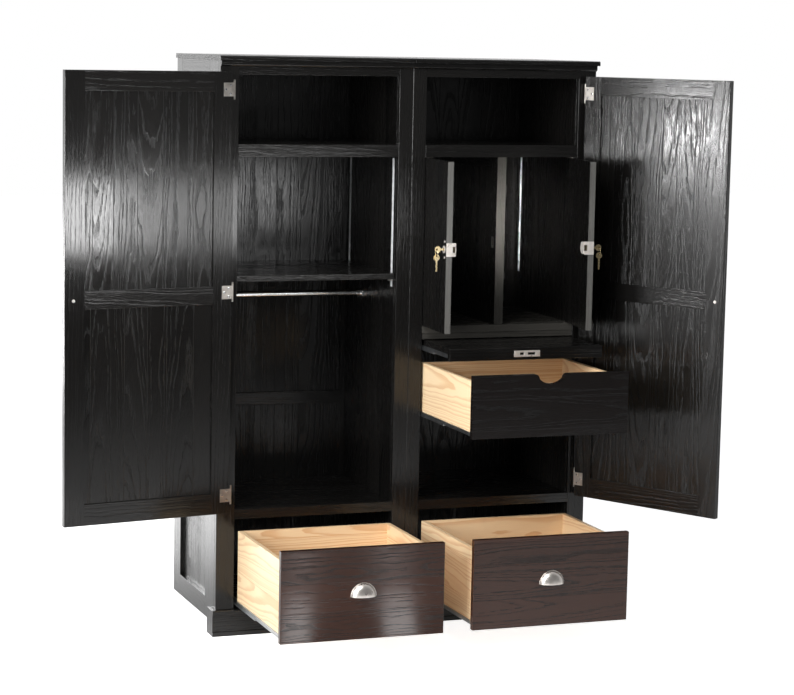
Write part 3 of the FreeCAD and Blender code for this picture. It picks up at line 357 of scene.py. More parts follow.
@dataclass(frozen=True)
class ClearPine:
    """Pale softwood under clear lacquer: honey summer lines on cream spring wood.

    Rings are drawn 7 mm apart, wider than in most pine, so that they show from across a room.
    """

    name: str
    cream: str = "F4DAB3"
    honey: str = "C98A4B"
    gloss: float = 0.34
    ridge: float = 0.00015
    summer_rise: tuple[float, float] = (0.35, 0.92)
    summer_end: tuple[float, float] = (1.0, 0.95)
    seam: tuple[float, float] = (0.0009, 0.0002)
    base_tone: float = -0.21
    pore_share: float = 0.30
    stave_share: float = 0.22
    summer_share: float = 0.42
    grain: WoodGrain = field(default_factory=lambda: WoodGrain(
        stave=0.150, ring=0.0070, lean=0.035, pith_depth=0.140, pore_width=0.0018,
        pore_length=0.06, sway=0.016))

    def material(self) -> Material:
        """Builds the material.

        Returns:
            The material.
        """
        material, tree = new_material(self.name)
        node = partial(add_node, tree)
        grain = self.grain.rings(tree)
        rise = node("MapRange", [grain["ring"], *self.summer_rise], **SMOOTH)
        fall = node("MapRange", [grain["ring"], *self.summer_end], **SMOOTH)
        summer = node("Math", [rise, fall], operation="MULTIPLY")
        tone = self.base_tone
        for source, share in ((grain["pores"], self.pore_share),
                              (grain["pick"], self.stave_share), (summer, self.summer_share)):
            tone = node("Math", [source, share, tone], operation="MULTIPLY_ADD")
        seam = node("MapRange", [grain["joint"], *self.seam], **SMOOTH)
        tone = node("Math", [tone, seam], operation="MAXIMUM", use_clamp=True)
        add_surface(tree, tone, (self.cream, self.honey), (0.5, self.ridge, summer),
                    {"IOR": 1.48, "Roughness": self.gloss})
        return material


@dataclass(frozen=True)
class PlatedMetal:
    """Plated or drawn metal: a bright skin with fine brush lines and faint clouding.

    The eye sees soft-edged reflections, drawn out along the brushing. Brush lines are drawn
    1 mm apart, wider than real ones, so that they show. A dull skin of zinc oxide is less bare
    and looks as pale from every side.
    """

    name: str
    tint: str
    shade: str
    roughness: float
    brush: float = 0.001
    brush_depth: float = 0.000012
    bare: float = 1.0
    drawn_out: float = 25.0
    clouds_per_metre: float = 60.0
    cloud_fade: tuple[float, float] = (0.3, 0.7)
    clouding: tuple[float, float] = (0.88, 1.14)

    def material(self) -> Material:
        """Builds the material.

        Returns:
            The material.
        """
        material, tree = new_material(self.name)
        node = partial(add_node, tree)
        place = node("TexCoord").outputs["Object"]
        cloud = node("TexNoise", {"Vector": place, "Scale": self.clouds_per_metre, "Detail": 3.0})
        cloud = node("MapRange", [cloud, *self.cloud_fade])
        lines = node("Mapping", {"Vector": place, "Scale": (1.0, 1.0, 1.0 / self.drawn_out)})
        brushed = node("TexNoise", {"Vector": lines, "Scale": 1.0 / self.brush, "Detail": 2.0})
        least, most = (self.roughness * share for share in self.clouding)
        rough = node("MapRange", [cloud, 0.0, 1.0, least, most])
        add_surface(tree, cloud, (self.shade, self.tint), (0.5, self.brush_depth, brushed),
                    {"Metallic": self.bare, "Roughness": rough})
        return material


@dataclass(frozen=True)
class MouldedPlastic:
    """Black moulded nylon: a fine grainy skin with a low sheen."""

    name: str
    colour: str = "18181A"
    sheen_colour: str = "242426"
    roughness: float = 0.55
    grain_depth: float = 0.0001
    grains_per_metre: float = 1800.0

    def material(self) -> Material:
        """Builds the material.

        Returns:
            The material.
        """
        material, tree = new_material(self.name)
        node = partial(add_node, tree)
        place = node("TexCoord").outputs["Object"]
        skin = node("TexNoise", {"Vector": place, "Scale": self.grains_per_metre, "Detail": 2.0})
        add_surface(tree, skin, (self.colour, self.sheen_colour), (0.3, self.grain_depth, skin),
                    {"IOR": 1.5, "Roughness": self.roughness})
        return material


class Finishes:
    """All materials of the armoire, each made once."""

    def __init__(self) -> None:
        """Builds the materials."""
        self.oak = StainedOak("black_stained_oak").material()
        self.fronts = StainedOak(
            "black_brown_oak", summer_tone="3B2218", pore_tone="1B0F0A", gloss=0.13,
            pore_gloss=0.26, depth=0.00011).material()
        self.smooth = StainedOak(
            "black_stained_oak_smooth", summer_tone="151110", pore_tone="070606", gloss=0.15,
            pore_gloss=0.28, depth=0.00014).material()
        # A mid grey copy of the oak for the locker doors' front edges: a painted highlight for the
        # light falling on them from the front.
        self.painted_edge_highlight = StainedOak(
            "oak_edge_painted_highlight", summer_tone="666562", pore_tone="4E4D4B", gloss=0.30,
            pore_gloss=0.40, depth=0.00005).material()
        # A charcoal copy of the oak for the divider's front edges and the locker's floor: painted
        # highlight for the light from the front.
        self.painted_light_oak = StainedOak(
            "black_oak_painted_light", summer_tone="45433F", pore_tone="1A1917", gloss=0.18,
            pore_gloss=0.34, depth=0.00015).material()
        self.pine = ClearPine("clear_pine").material()
        self.nickel = PlatedMetal("satin_nickel", "CFC9C2", "B9B3AC", 0.36).material()
        self.bright = PlatedMetal("bright_nickel", "F6F0EA", "E9E1D9", 0.30).material()
        self.lock = PlatedMetal(
            "pale_nickel", "F6F0EA", "E9E1D9", 0.30, bare=0.55).material()
        self.chrome = PlatedMetal("bright_chrome", "E6E7E8", "D6D8DA", 0.14).material()
        self.zinc = PlatedMetal("zinc_plate", "C3C6C8", "ADB1B4", 0.34).material()
        self.galvanised = PlatedMetal(
            "galvanised_steel", "F4F5F6", "DFE1E3", 0.60, bare=0.3).material()
        self.brass = PlatedMetal("pale_brass", "F0DFB8", "DCC48F", 0.26).material()
        # The bolt's brass is made darker: painted shade for the dark slot in the lock that holds
        # it.
        self.bolt = PlatedMetal("brass_with_painted_shade", "6A604C", "4A4336", 0.42).material()
        self.plastic = MouldedPlastic("black_nylon").material()


def finish_piece(
    piece: Object,
    material: Material,
    body: str,
    replaced: tuple[str, ...] = (),
    smooth: float = 35.0,
) -> Object:
    """Gives a finished mesh its material, shading and body, and hides the solids it stands for.

    Args:
        piece: the mesh object, already in place.
        material: what it is made of.
        body: the moving body it belongs to.
        replaced: the solids it stands for.
        smooth: edges flatter than this many degrees shade smooth.

    Returns:
        The same object.
    """
    mesh = piece.data
    mesh.materials.clear()
    mesh.materials.append(material)
    mesh.polygons.foreach_set("use_smooth", [True] * len(mesh.polygons))
    mesh.set_sharp_from_angle(angle=math.radians(smooth))
    # Large flat faces keep their own normal, so the rounding doesn't bend their shine.
    weighted = piece.modifiers.new("flat_faces", "WEIGHTED_NORMAL")
    weighted.weight = 100
    weighted.keep_sharp = True
    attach(piece, body)
    if replaced:
        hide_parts(*replaced)
    LOG.info("%s: %d faces on %s", piece.name, len(mesh.polygons), body)
    return piece


def object_from(name: str, shape: BMesh) -> Object:
    """Makes an object of a bmesh and frees it.

    Args:
        name: the piece's name.
        shape: the mesh, in the frame's metres.

    Returns:
        The new object, linked to the scene.
    """
    mesh = bpy.data.meshes.new(name)
    shape.to_mesh(mesh)
    shape.free()
    made = bpy.data.objects.new(name, mesh)
    bpy.context.scene.collection.objects.link(made)
    return made


def faces_of(solid: list[BMVert]) -> list[BMFace]:
    """Lists the faces of a solid once each, in a fixed order.

    Args:
        solid: the solid's vertices.

    Returns:
        The faces.
    """
    return list(dict.fromkeys(face for vert in solid for face in vert.link_faces))


def broadest(faces: list[BMFace]) -> BMFace:
    """Picks the largest face, and among equals always the same one.

    Args:
        faces: the faces to pick from.

    Returns:
        The face.
    """
    return max(faces, key=lambda f: (
        round(f.calc_area(), AREA_DIGITS),
        *(round(c, PLACE_DIGITS) for c in f.calc_center_median())))


def solid_groups(shape: BMesh) -> list[list[BMFace]]:
    """Sorts loose triangles into solids: each ends where its surface closes.

    Args:
        shape: triangles in the order in which they were written.

    Returns:
        One list of faces for each solid.
    """
    groups, current, waiting = [], [], {}
    for face in shape.faces:
        current.append(face)
        corners = [tuple(round(c / SAME_PLACE) for c in v.co) for v in face.verts]
        for pair in zip(corners, corners[1:] + corners[:1]):
            back = (pair[1], pair[0])
            if waiting.get(back, 0):
                waiting[back] -= 1
                if not waiting[back]:
                    del waiting[back]
            elif pair[0] != pair[1]:
                waiting[pair] = waiting.get(pair, 0) + 1
        if not waiting:
            groups.append(current)
            current = []
    return groups + ([current] if current else [])


def merged_copy(node: str) -> BMesh:
    """Copies a node's mesh with each solid's loose triangles merged into flat faces.

    Args:
        node: the node's name.

    Returns:
        A new bmesh in which solids that touch stay apart.
    """
    shape = bmesh.new()
    shape.from_mesh(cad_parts[node].data)
    for group in solid_groups(shape):
        corners = list(dict.fromkeys(vert for face in group for vert in face.verts))
        bmesh.ops.remove_doubles(shape, verts=corners, dist=SAME_PLACE)
    bmesh.ops.dissolve_limit(shape, angle_limit=math.radians(FLAT_DEGREES), verts=shape.verts,
                             edges=shape.edges)
    return shape


def islands(shape: BMesh) -> list[list[BMVert]]:
    """Finds the separate solids of a mesh.

    Args:
        shape: the mesh.

    Returns:
        One list of vertices for each solid.
    """
    seen, found = set(), []
    for start in shape.verts:
        if start in seen:
            continue
        seen.add(start)
        solid = [start]
        for vert in solid:
            for edge in vert.link_edges:
                other = edge.other_vert(vert)
                if other not in seen:
                    seen.add(other)
                    solid.append(other)
        found.append(solid)
    return found


def corners_of(solid: list[BMVert]) -> tuple[Vector, Vector]:
    """Finds the box of a solid.

    Args:
        solid: the solid's vertices.

    Returns:
        The lowest and the highest corner.
    """
    low, high = (Vector([pick(vert.co[i] for vert in solid) for i in range(3)])
                 for pick in (min, max))
    return low, high


def verts_in(result: dict[str, list]) -> list[BMVert]:
    """Lists the vertices that a bmesh operator made.

    Args:
        result: what the operator returned.

    Returns:
        The vertices.
    """
    return [item for item in result["geom"] if isinstance(item, BMVert)]


def surface_tree(solid: list[BMVert]) -> BVHTree:
    """Makes a search tree of a solid's surface.

    Args:
        solid: the solid's vertices.

    Returns:
        The tree.
    """
    order = {vert: i for i, vert in enumerate(solid)}
    return BVHTree.FromPolygons([vert.co.copy() for vert in solid],
                                [[order[v] for v in face.verts] for face in faces_of(solid)])


def soften(
    shape: BMesh, width: float, segments: int, shortest: float, steep: float = 40.0
) -> None:
    """Rounds the free sharp edges of each solid, but not the seams between touching solids.

    Args:
        shape: the mesh.
        width: how far the rounding reaches from the edge.
        segments: faces across the rounding.
        shortest: edges shorter than this stay sharp.
        steep: only edges that turn more than this many degrees are rounded.
    """
    solids = islands(shape)
    trees = [surface_tree(solid) for solid in solids]
    chosen = []
    for number, solid in enumerate(solids):
        others = [tree for i, tree in enumerate(trees) if i != number]
        sharp = []
        for edge in dict.fromkeys(edge for vert in solid for edge in vert.link_edges):
            if len(edge.link_faces) != 2 or edge.calc_length() < shortest:
                continue
            if edge.calc_face_angle(0.0) < math.radians(steep):
                continue
            middle = (edge.verts[0].co + edge.verts[1].co) / 2
            if all(tree.find_nearest(middle, SEAM_GAP)[0] is None for tree in others):
                sharp.append(edge)
        chosen.append(sorted(sharp, key=lambda e: tuple(e.verts[0].co) + tuple(e.verts[1].co)))
    for sharp in chosen:
        bmesh.ops.bevel(shape, geom=sharp, offset=width, offset_type="OFFSET",
                        segments=segments, profile=0.5, affect="EDGES", clamp_overlap=True,
                        material=-1)


def stamp(shape: BMesh, template: Mesh, places: list[Matrix]) -> None:
    """Adds copies of a small mesh.

    Args:
        shape: the mesh that receives them.
        template: the small mesh.
        places: where each copy goes.
    """
    for place in places:
        copy = template.copy()
        copy.transform(place)
        if place.determinant() < 0:
            copy.flip_normals()
        shape.from_mesh(copy)
        bpy.data.meshes.remove(copy)


def template_from(name: str, shape: BMesh) -> Mesh:
    """Turns a bmesh into a mesh to stamp, with its normals outwards.

    Args:
        name: the mesh's name.
        shape: the bmesh, which is freed.

    Returns:
        The mesh.
    """
    bmesh.ops.recalc_face_normals(shape, faces=shape.faces)
    mesh = bpy.data.meshes.new(name)
    shape.to_mesh(mesh)
    shape.free()
    return mesh


def turned(points: list[tuple[float, float]], steps: int) -> BMesh:
    """Turns an outline about the z axis.

    Args:
        points: radius and height of each corner, from one end of the axis to the other.
        steps: faces around.

    Returns:
        The closed solid.
    """
    shape = bmesh.new()
    corners = [shape.verts.new((radius, 0.0, height)) for radius, height in points]
    edges = [shape.edges.new(pair) for pair in zip(corners, corners[1:])]
    bmesh.ops.spin(shape, geom=corners + edges, cent=(0, 0, 0), axis=(0, 0, 1), dvec=(0, 0, 0),
                   angle=math.tau, steps=steps, use_merge=True, use_duplicate=False)
    bmesh.ops.remove_doubles(shape, verts=shape.verts, dist=SAME_PLACE)
    bmesh.ops.recalc_face_normals(shape, faces=shape.faces)
    return shape


def uneven_grid(columns: tuple[float, ...], rows: tuple[float, ...]) -> BMesh:
    """Lays out a flat grid with lines at given places.

    Args:
        columns: where the lines lie along x, in rising order.
        rows: where they lie along y.

    Returns:
        The grid at z = 0.
    """
    shape = bmesh.new()
    bmesh.ops.create_grid(shape, x_segments=len(columns) - 1, y_segments=len(rows) - 1,
                          size=1.0)
    for vert in shape.verts:
        x, y = (lines[round((c + 1) / 2 * (len(lines) - 1))]
                for c, lines in zip(vert.co, (columns, rows)))
        vert.co = Vector((x, y, 0.0))
    return shape


def looking(middle: Vector, out: Vector, spin_degrees: float = 0.0) -> Matrix:
    """Places a template so that its z axis points out of a surface.

    Args:
        middle: where the template's origin goes.
        out: the surface's normal.
        spin_degrees: turn about that normal.

    Returns:
        The placing matrix.
    """
    turn = out.to_track_quat("Z", "Y").to_matrix().to_4x4()
    return Matrix.Translation(middle) @ turn @ Matrix.Rotation(math.radians(spin_degrees), 4, "Z")


@dataclass(frozen=True)
class Plate:
    """The broad outer side of a plate: its middle and its directions."""

    middle: Vector
    out: Vector
    across: Vector

    def at(self, across: float, up: float) -> Vector:
        """Finds a point on the plate.

        Args:
            across: metres from the middle, level.
            up: metres from the middle, upwards.

        Returns:
            The point.
        """
        return self.middle + self.across * across + UP * up


def broad_sides(node: str, toward: Vector) -> list[Plate]:
    """Finds the broad side of each solid of a node that faces a given way.

    Args:
        node: the node's name.
        toward: the side is picked among faces that look this way.

    Returns:
        One plate for each solid, in the node's order.
    """
    shape = merged_copy(node)
    plates = []
    for solid in islands(shape):
        facing = [f for f in faces_of(solid) if f.normal.dot(toward) > TOWARD]
        broad = broadest(facing)
        out = broad.normal.copy()
        across = UP.cross(out).normalized()
        level = [vert.co.dot(across) for vert in broad.verts]
        high = [vert.co.z for vert in broad.verts]
        depth = broad.verts[0].co.dot(out)
        middle = (across * (min(level) + max(level)) / 2 + out * depth
                  + UP * ((min(high) + max(high)) / 2))
        plates.append(Plate(middle, out, across))
    shape.free()
    return plates


@dataclass(frozen=True)
class CrossHeadScrew:
    """The countersunk head of a cross-recessed wood screw."""

    radius: float = 3.4 * MM
    rise: float = 0.35 * MM
    rim: float = 0.1 * MM
    recess: float = 0.35 * MM
    arm_length: float = 0.56
    arm_width: float = 0.2
    lines: tuple[float, ...] = (-1.0, -0.6, -0.15, 0.15, 0.6, 1.0)

    def template(self) -> Mesh:
        """Builds the head with its underside at z = 0.

        Returns:
            The mesh to stamp.
        """
        shape = uneven_grid(self.lines, self.lines)
        for vert in shape.verts:
            x, y, _ = vert.co
            disc = Vector((x * math.sqrt(1 - y * y / 2), y * math.sqrt(1 - x * x / 2), 0.0))
            height = self.rim + self.rise * (1 - disc.length_squared)
            vert.co = Vector((disc.x * self.radius, disc.y * self.radius, height))
        cross = []
        for face in shape.faces:
            place = face.calc_center_median() / self.radius
            near, far = sorted((abs(place.x), abs(place.y)))
            if near < self.arm_width and far < self.arm_length:
                cross.append(face)
        rim = [edge for edge in shape.edges if edge.is_boundary]
        sunk = bmesh.ops.extrude_face_region(shape, geom=cross)
        bmesh.ops.translate(shape, verts=verts_in(sunk), vec=(0, 0, -self.recess))
        bmesh.ops.delete(shape, geom=[f for f in cross if f.is_valid], context="FACES_ONLY")
        skirt = bmesh.ops.extrude_edge_only(shape, edges=rim)
        for vert in verts_in(skirt):
            vert.co.z = 0.0
        bmesh.ops.holes_fill(shape, edges=[e for e in shape.edges if e.is_boundary], sides=0)
        return template_from("screw_head", shape)


@dataclass
class Screws:
    """A group of screw heads on one body."""

    name: str
    body: str
    places: list[Matrix]
    head: CrossHeadScrew = field(default_factory=CrossHeadScrew)
    slot: Slot = Slot.NICKEL

    def build(self, material: Material) -> Object:
        """Builds the screw heads.

        Args:
            material: their metal.

        Returns:
            The piece.
        """
        shape = bmesh.new()
        template = self.head.template()
        stamp(shape, template, self.places)
        bpy.data.meshes.remove(template)
        return finish_piece(object_from(self.name, shape), material, self.body)


@dataclass
class Boards:
    """Boards of one node, with softened edges and the grain laid along each of them."""

    node: str
    body: str
    slot: Slot = Slot.OAK
    edge: float = 1.2 * MM
    segments: int = 2
    shortest: float = 7.0 * MM
    widest_single: float = 0.105
    farthest_start: float = 0.8
    cut_numbers: int = 900

    def lay_grain(self, shape: BMesh) -> None:
        """Stores where each vertex lies in its own board.

        The board attribute runs across, through and along the board from its middle. The cut
        attribute holds 1 for a board glued up of staves, then two numbers of its own.

        Args:
            shape: the mesh with its boards.
        """
        place_layer = shape.verts.layers.float_vector.new("board")
        cut_layer = shape.verts.layers.float_vector.new("cut")
        chance = random.Random(self.node)
        # The order of the draws follows the boards' places, not the order of the mesh.
        for board in sorted(islands(shape), key=lambda b: [
                round(c, PLACE_DIGITS) for c in corners_of(b)[0]]):
            axes = self.board_axes(board)
            reaches = [[vert.co.dot(axis) for vert in board] for axis in axes]
            middles = [(min(reach) + max(reach)) / 2 for reach in reaches]
            glued = 1.0 if max(reaches[0]) - min(reaches[0]) > self.widest_single else 0.0
            start = chance.uniform(-self.farthest_start, self.farthest_start)
            number = chance.randrange(self.cut_numbers) + chance.random()
            cut = Vector((glued, number, chance.random()))
            for vert in board:
                across, through, along = (
                    vert.co.dot(axis) - middle for axis, middle in zip(axes, middles))
                vert[place_layer] = Vector((across, through, along + start))
                vert[cut_layer] = cut

    def board_axes(self, board: list[BMVert]) -> tuple[Vector, Vector, Vector]:
        """Finds a board's own directions.

        Args:
            board: the board's vertices.

        Returns:
            Unit vectors across the face, through the thickness and along the grain.
        """
        normal = broadest(faces_of(board)).normal
        if abs(normal.z) > STRAIGHT:
            first, second, through = Vector((1.0, 0.0, 0.0)), Vector((0.0, 1.0, 0.0)), UP
        else:
            through = Vector((normal.x, normal.y, 0.0)).normalized()
            first, second = through.cross(UP), UP
        reach = []
        for axis in (first, second):
            places = [vert.co.dot(axis) for vert in board]
            reach.append(max(places) - min(places))
        along, across = (first, second) if reach[0] > reach[1] else (second, first)
        return across, through, along

    def build(self, material: Material) -> Object:
        """Builds the dressed boards.

        Args:
            material: the wood.

        Returns:
            The piece that stands for the node.
        """
        shape = merged_copy(self.node)
        soften(shape, self.edge, self.segments, self.shortest)
        self.lay_grain(shape)
        piece = object_from(self.node + "_boards", shape)
        return finish_piece(piece, material, self.body, (self.node,))


def paint_highlight_on_front_edges(piece: Object, painted_edge_highlight: Material) -> None:
    """Gives the faces that look straight forward at rest a second material, a lighter oak that
    paints a highlight on them.

    Args:
        piece: the boards.
        painted_edge_highlight: the lighter oak, a painted highlight for the light from the front.
    """
    piece.data.materials.append(painted_edge_highlight)
    for face in piece.data.polygons:
        if face.normal.y < -STRAIGHT:
            face.material_index = 1


@dataclass
class Fitting:
    """A metal or plastic node with its edges broken."""

    node: str
    body: str
    slot: Slot = Slot.NICKEL
    edge: float = 0.4 * MM
    segments: int = 2
    shortest: float = 3.0 * MM
    steep: float = 50.0

    def build(self, material: Material) -> Object:
        """Builds the dressed fitting.

        Args:
            material: the metal.

        Returns:
            The piece that stands for the node.
        """
        shape = merged_copy(self.node)
        soften(shape, self.edge, self.segments, self.shortest, self.steep)
        piece = object_from(self.node + "_fitting", shape)
        return finish_piece(piece, material, self.body, (self.node,))


@dataclass
class ShelfStandards:
    """Slotted metal strips let into the walls, which carry the shelf clips."""

    node: str = "shelf_standards"
    body: str = "cabinet"
    gauge: float = 1.2 * MM
    depth: float = 4.6 * MM
    slot_width: float = 4.5 * MM
    slot_height: float = 15.0 * MM
    pitch: float = 25.0 * MM

    def strip(self, width: float, height: float) -> Mesh:
        """Builds one strip, its face at z = 0 and its long side along y.

        Args:
            width: across the strip.
            height: along the strip.

        Returns:
            The mesh to stamp.
        """
        count = int(height / self.pitch)
        levels = [-height / 2]
        for i in range(count):
            middle = (i - (count - 1) / 2) * self.pitch
            levels += [middle - self.slot_height / 2, middle + self.slot_height / 2]
        levels.append(height / 2)
        columns = (-width / 2, -self.slot_width / 2, self.slot_width / 2, width / 2)
        shape = uneven_grid(columns, tuple(levels))
        slots = []
        for face in shape.faces:
            place = face.calc_center_median()
            # Every second row is cut through in its middle column.
            row = sum(level < place.y for level in levels)
            if abs(place.x) < SAME_PLACE and row % 2 == 0:
                slots.append(face)
        bmesh.ops.delete(shape, geom=slots, context="FACES_ONLY")
        sides = [e for e in shape.edges if e.is_boundary
                 and all(abs(abs(v.co.x) - width / 2) < SAME_PLACE for v in e.verts)]
        flange = bmesh.ops.extrude_edge_only(shape, edges=sides)
        bmesh.ops.translate(shape, verts=verts_in(flange), vec=(0, 0, -self.depth))
        bmesh.ops.recalc_face_normals(shape, faces=shape.faces)
        if max(shape.faces, key=lambda f: f.calc_area()).normal.z < 0:
            bmesh.ops.reverse_faces(shape, faces=shape.faces)
        bmesh.ops.solidify(shape, geom=shape.faces, thickness=self.gauge)
        return template_from("standard_strip", shape)

    def build(self, material: Material) -> Object:
        """Builds all the strips.

        Args:
            material: their metal.

        Returns:
            The piece that stands for the node.
        """
        shape = bmesh.new()
        source = merged_copy(self.node)
        for solid in islands(source):
            low, high = corners_of(solid)
            middle = (low + high) / 2
            bay = math.copysign(BAY_MIDDLE_X, middle.x)
            out = Vector((math.copysign(1.0, bay - middle.x), 0.0, 0.0))
            face = Vector((high.x if out.x > 0 else low.x, middle.y, middle.z))
            turn = Matrix((UP.cross(out), UP, out)).transposed().to_4x4()
            strip = self.strip(high.y - low.y, high.z - low.z)
            stamp(shape, strip, [Matrix.Translation(face) @ turn])
            bpy.data.meshes.remove(strip)
        source.free()
        piece = object_from("slotted_standards", shape)
        return finish_piece(piece, material, self.body, (self.node,))


@dataclass
class Cabinet:
    """The two cabinets: everything that stands still."""

    body: str = "cabinet"
    timber: tuple[str, ...] = (
        "side_frames", "side_panels", "inner_walls", "partitions", "face_frame", "top_boards",
        "crown_mouldings", "plinths", "centre_runner", "cabinet_bottoms", "bay_floors",
        "upper_shelves", "adjustable_shelf", "back_panels", "back_strips")
    metal: tuple[str, ...] = (
        "shelf_clips", "locker_strikes", "locker_pivots", "frame_hinge_leaves")
    pin_x: float = 593.5 * MM
    pin_y: float = -266.5 * MM
    pin_reach: float = 2.0 * MM
    tip: tuple[tuple[float, float], ...] = (
        (0.0, -1.0), (4.0, -1.0), (4.3, -0.4), (4.0, 0.3), (2.2, 0.9), (1.9, 1.5), (2.8, 2.3),
        (3.2, 3.4), (2.8, 4.5), (1.7, 5.4), (0.0, 5.8))

    def hinge_tips(self, material: Material) -> Object:
        """Adds the ball finials of the hinge pins.

        Args:
            material: their metal.

        Returns:
            The piece.
        """
        template = template_from("pin_tip", turned([(r * MM, z * MM) for r, z in self.tip], 24))
        shape = bmesh.new()
        source = merged_copy("frame_hinge_leaves")
        for solid in islands(source):
            side = math.copysign(self.pin_x, solid[0].co.x)
            near = [vert.co.z for vert in solid if abs(vert.co.y - self.pin_y) < self.pin_reach
                    and abs(vert.co.x - side) < self.pin_reach]
            for level, way in ((min(near), -1.0), (max(near), 1.0)):
                stamp(shape, template, [Matrix.Translation((side, self.pin_y, level))
                                        @ Matrix.Scale(way, 4, UP)])
        source.free()
        bpy.data.meshes.remove(template)
        piece = object_from("hinge_pin_tips", shape)
        return finish_piece(piece, material, self.body)

    def build(self, finishes: Finishes) -> None:
        """Builds the case.

        Args:
            finishes: the materials.
        """
        for node in self.timber:
            Boards(node, self.body).build(finishes.oak)
        divider = Boards("locker_divider", self.body).build(finishes.oak)
        # The divider's front edges and the locker floor take a lighter oak: painted highlight for
        # the light from the front.
        paint_highlight_on_front_edges(divider, finishes.painted_light_oak)
        Boards("locker_floor", self.body).build(finishes.painted_light_oak)
        for node in self.metal:
            Fitting(node, self.body).build(finishes.nickel)
        self.hinge_tips(finishes.nickel)
        ShelfStandards().build(finishes.galvanised)
        Fitting("wardrobe_rod", self.body).build(finishes.chrome)
        Fitting("fixed_slides", self.body, Slot.ZINC).build(finishes.zinc)
        Fitting("levelling_feet", self.body, Slot.ZINC).build(finishes.plastic)


@dataclass
class PanelDoor:
    """A hinged door: frame, panels, knob and hinge leaves."""

    side: str
    screw_spots: tuple[tuple[float, float], ...] = (
        (10.0 * MM, 0.0), (-5.0 * MM, 13.0 * MM), (-5.0 * MM, -13.0 * MM))
    screw_turn: float = 23.0

    def build(self, finishes: Finishes) -> None:
        """Builds the door.

        Args:
            finishes: the materials.
        """
        body = self.side + "_door"
        for part in ("frame", "panels"):
            Boards(f"{body}_{part}", body).build(finishes.oak)
        for part in ("knob", "hinge_leaves"):
            Fitting(f"{body}_{part}", body).build(finishes.nickel)
        self.hinge_screws().build(finishes.chrome)

    def hinge_screws(self) -> Screws:
        """Finds the places of the three screws in each hinge leaf.

        Returns:
            The screws, ready to build.
        """
        away = -1.0 if self.side == "left" else 1.0
        places = []
        for plate in broad_sides(self.side + "_door_hinge_leaves", Vector((0.0, -1.0, 0.0))):
            outer = away if plate.across.x > 0 else -away
            for number, (across, up) in enumerate(self.screw_spots):
                spot = plate.at(across * outer, up)
                places.append(looking(spot, plate.out, self.screw_turn * number))
        return Screws(self.side + "_hinge_screws", self.side + "_door", places)


@dataclass
class Drawer:
    """A drawer: front, box and slide members."""

    name: str
    front_edge: float = 1.8 * MM
    front_segments: int = 3

    def build(self, finishes: Finishes) -> None:
        """Builds the drawer.

        Args:
            finishes: the materials.
        """
        inner = self.name.startswith("inner")
        Boards(self.name + "_front", self.name, edge=self.front_edge,
               segments=self.front_segments).build(finishes.smooth if inner else finishes.fronts)
        Boards(self.name + "_box", self.name, Slot.PINE).build(finishes.pine)
        for node, body in ((self.name + "_slides", self.name),
                           (self.name + "_mid_slides", self.name + "_mid_slides")):
            Fitting(node, body, Slot.ZINC).build(finishes.zinc)


@dataclass
class Tray:
    """The pull-out tray with its lock plate."""

    name: str = "tray"

    def build(self, finishes: Finishes) -> None:
        """Builds the tray.

        Args:
            finishes: the materials.
        """
        Boards("tray_boards", self.name).build(finishes.oak)
        Fitting("tray_lock_plate", self.name).build(finishes.lock)
        for node, body in (("tray_slides", self.name), ("tray_mid_slides", "tray_mid_slides")):
            Fitting(node, body, Slot.ZINC).build(finishes.zinc)


@dataclass
class LockerDoor:
    """A locker door with its lock, bolt and keys."""

    side: str

    def build(self, finishes: Finishes) -> None:
        """Builds the door.

        Args:
            finishes: the materials.
        """
        name = "locker_" + self.side
        panel = Boards(name + "_panel", name + "_door").build(finishes.oak)
        # The door's front edges take a mid grey oak: a painted highlight for the light from the
        # front.
        paint_highlight_on_front_edges(panel, finishes.painted_edge_highlight)
        Fitting(name + "_lock", name + "_door").build(finishes.lock)
        # The bolt takes the darker brass: painted shade for its slot.
        Fitting(name + "_bolt", name + "_bolt", Slot.BRASS).build(finishes.bolt)
        Fitting(name + "_key", name + "_key", Slot.BRASS).build(finishes.brass)


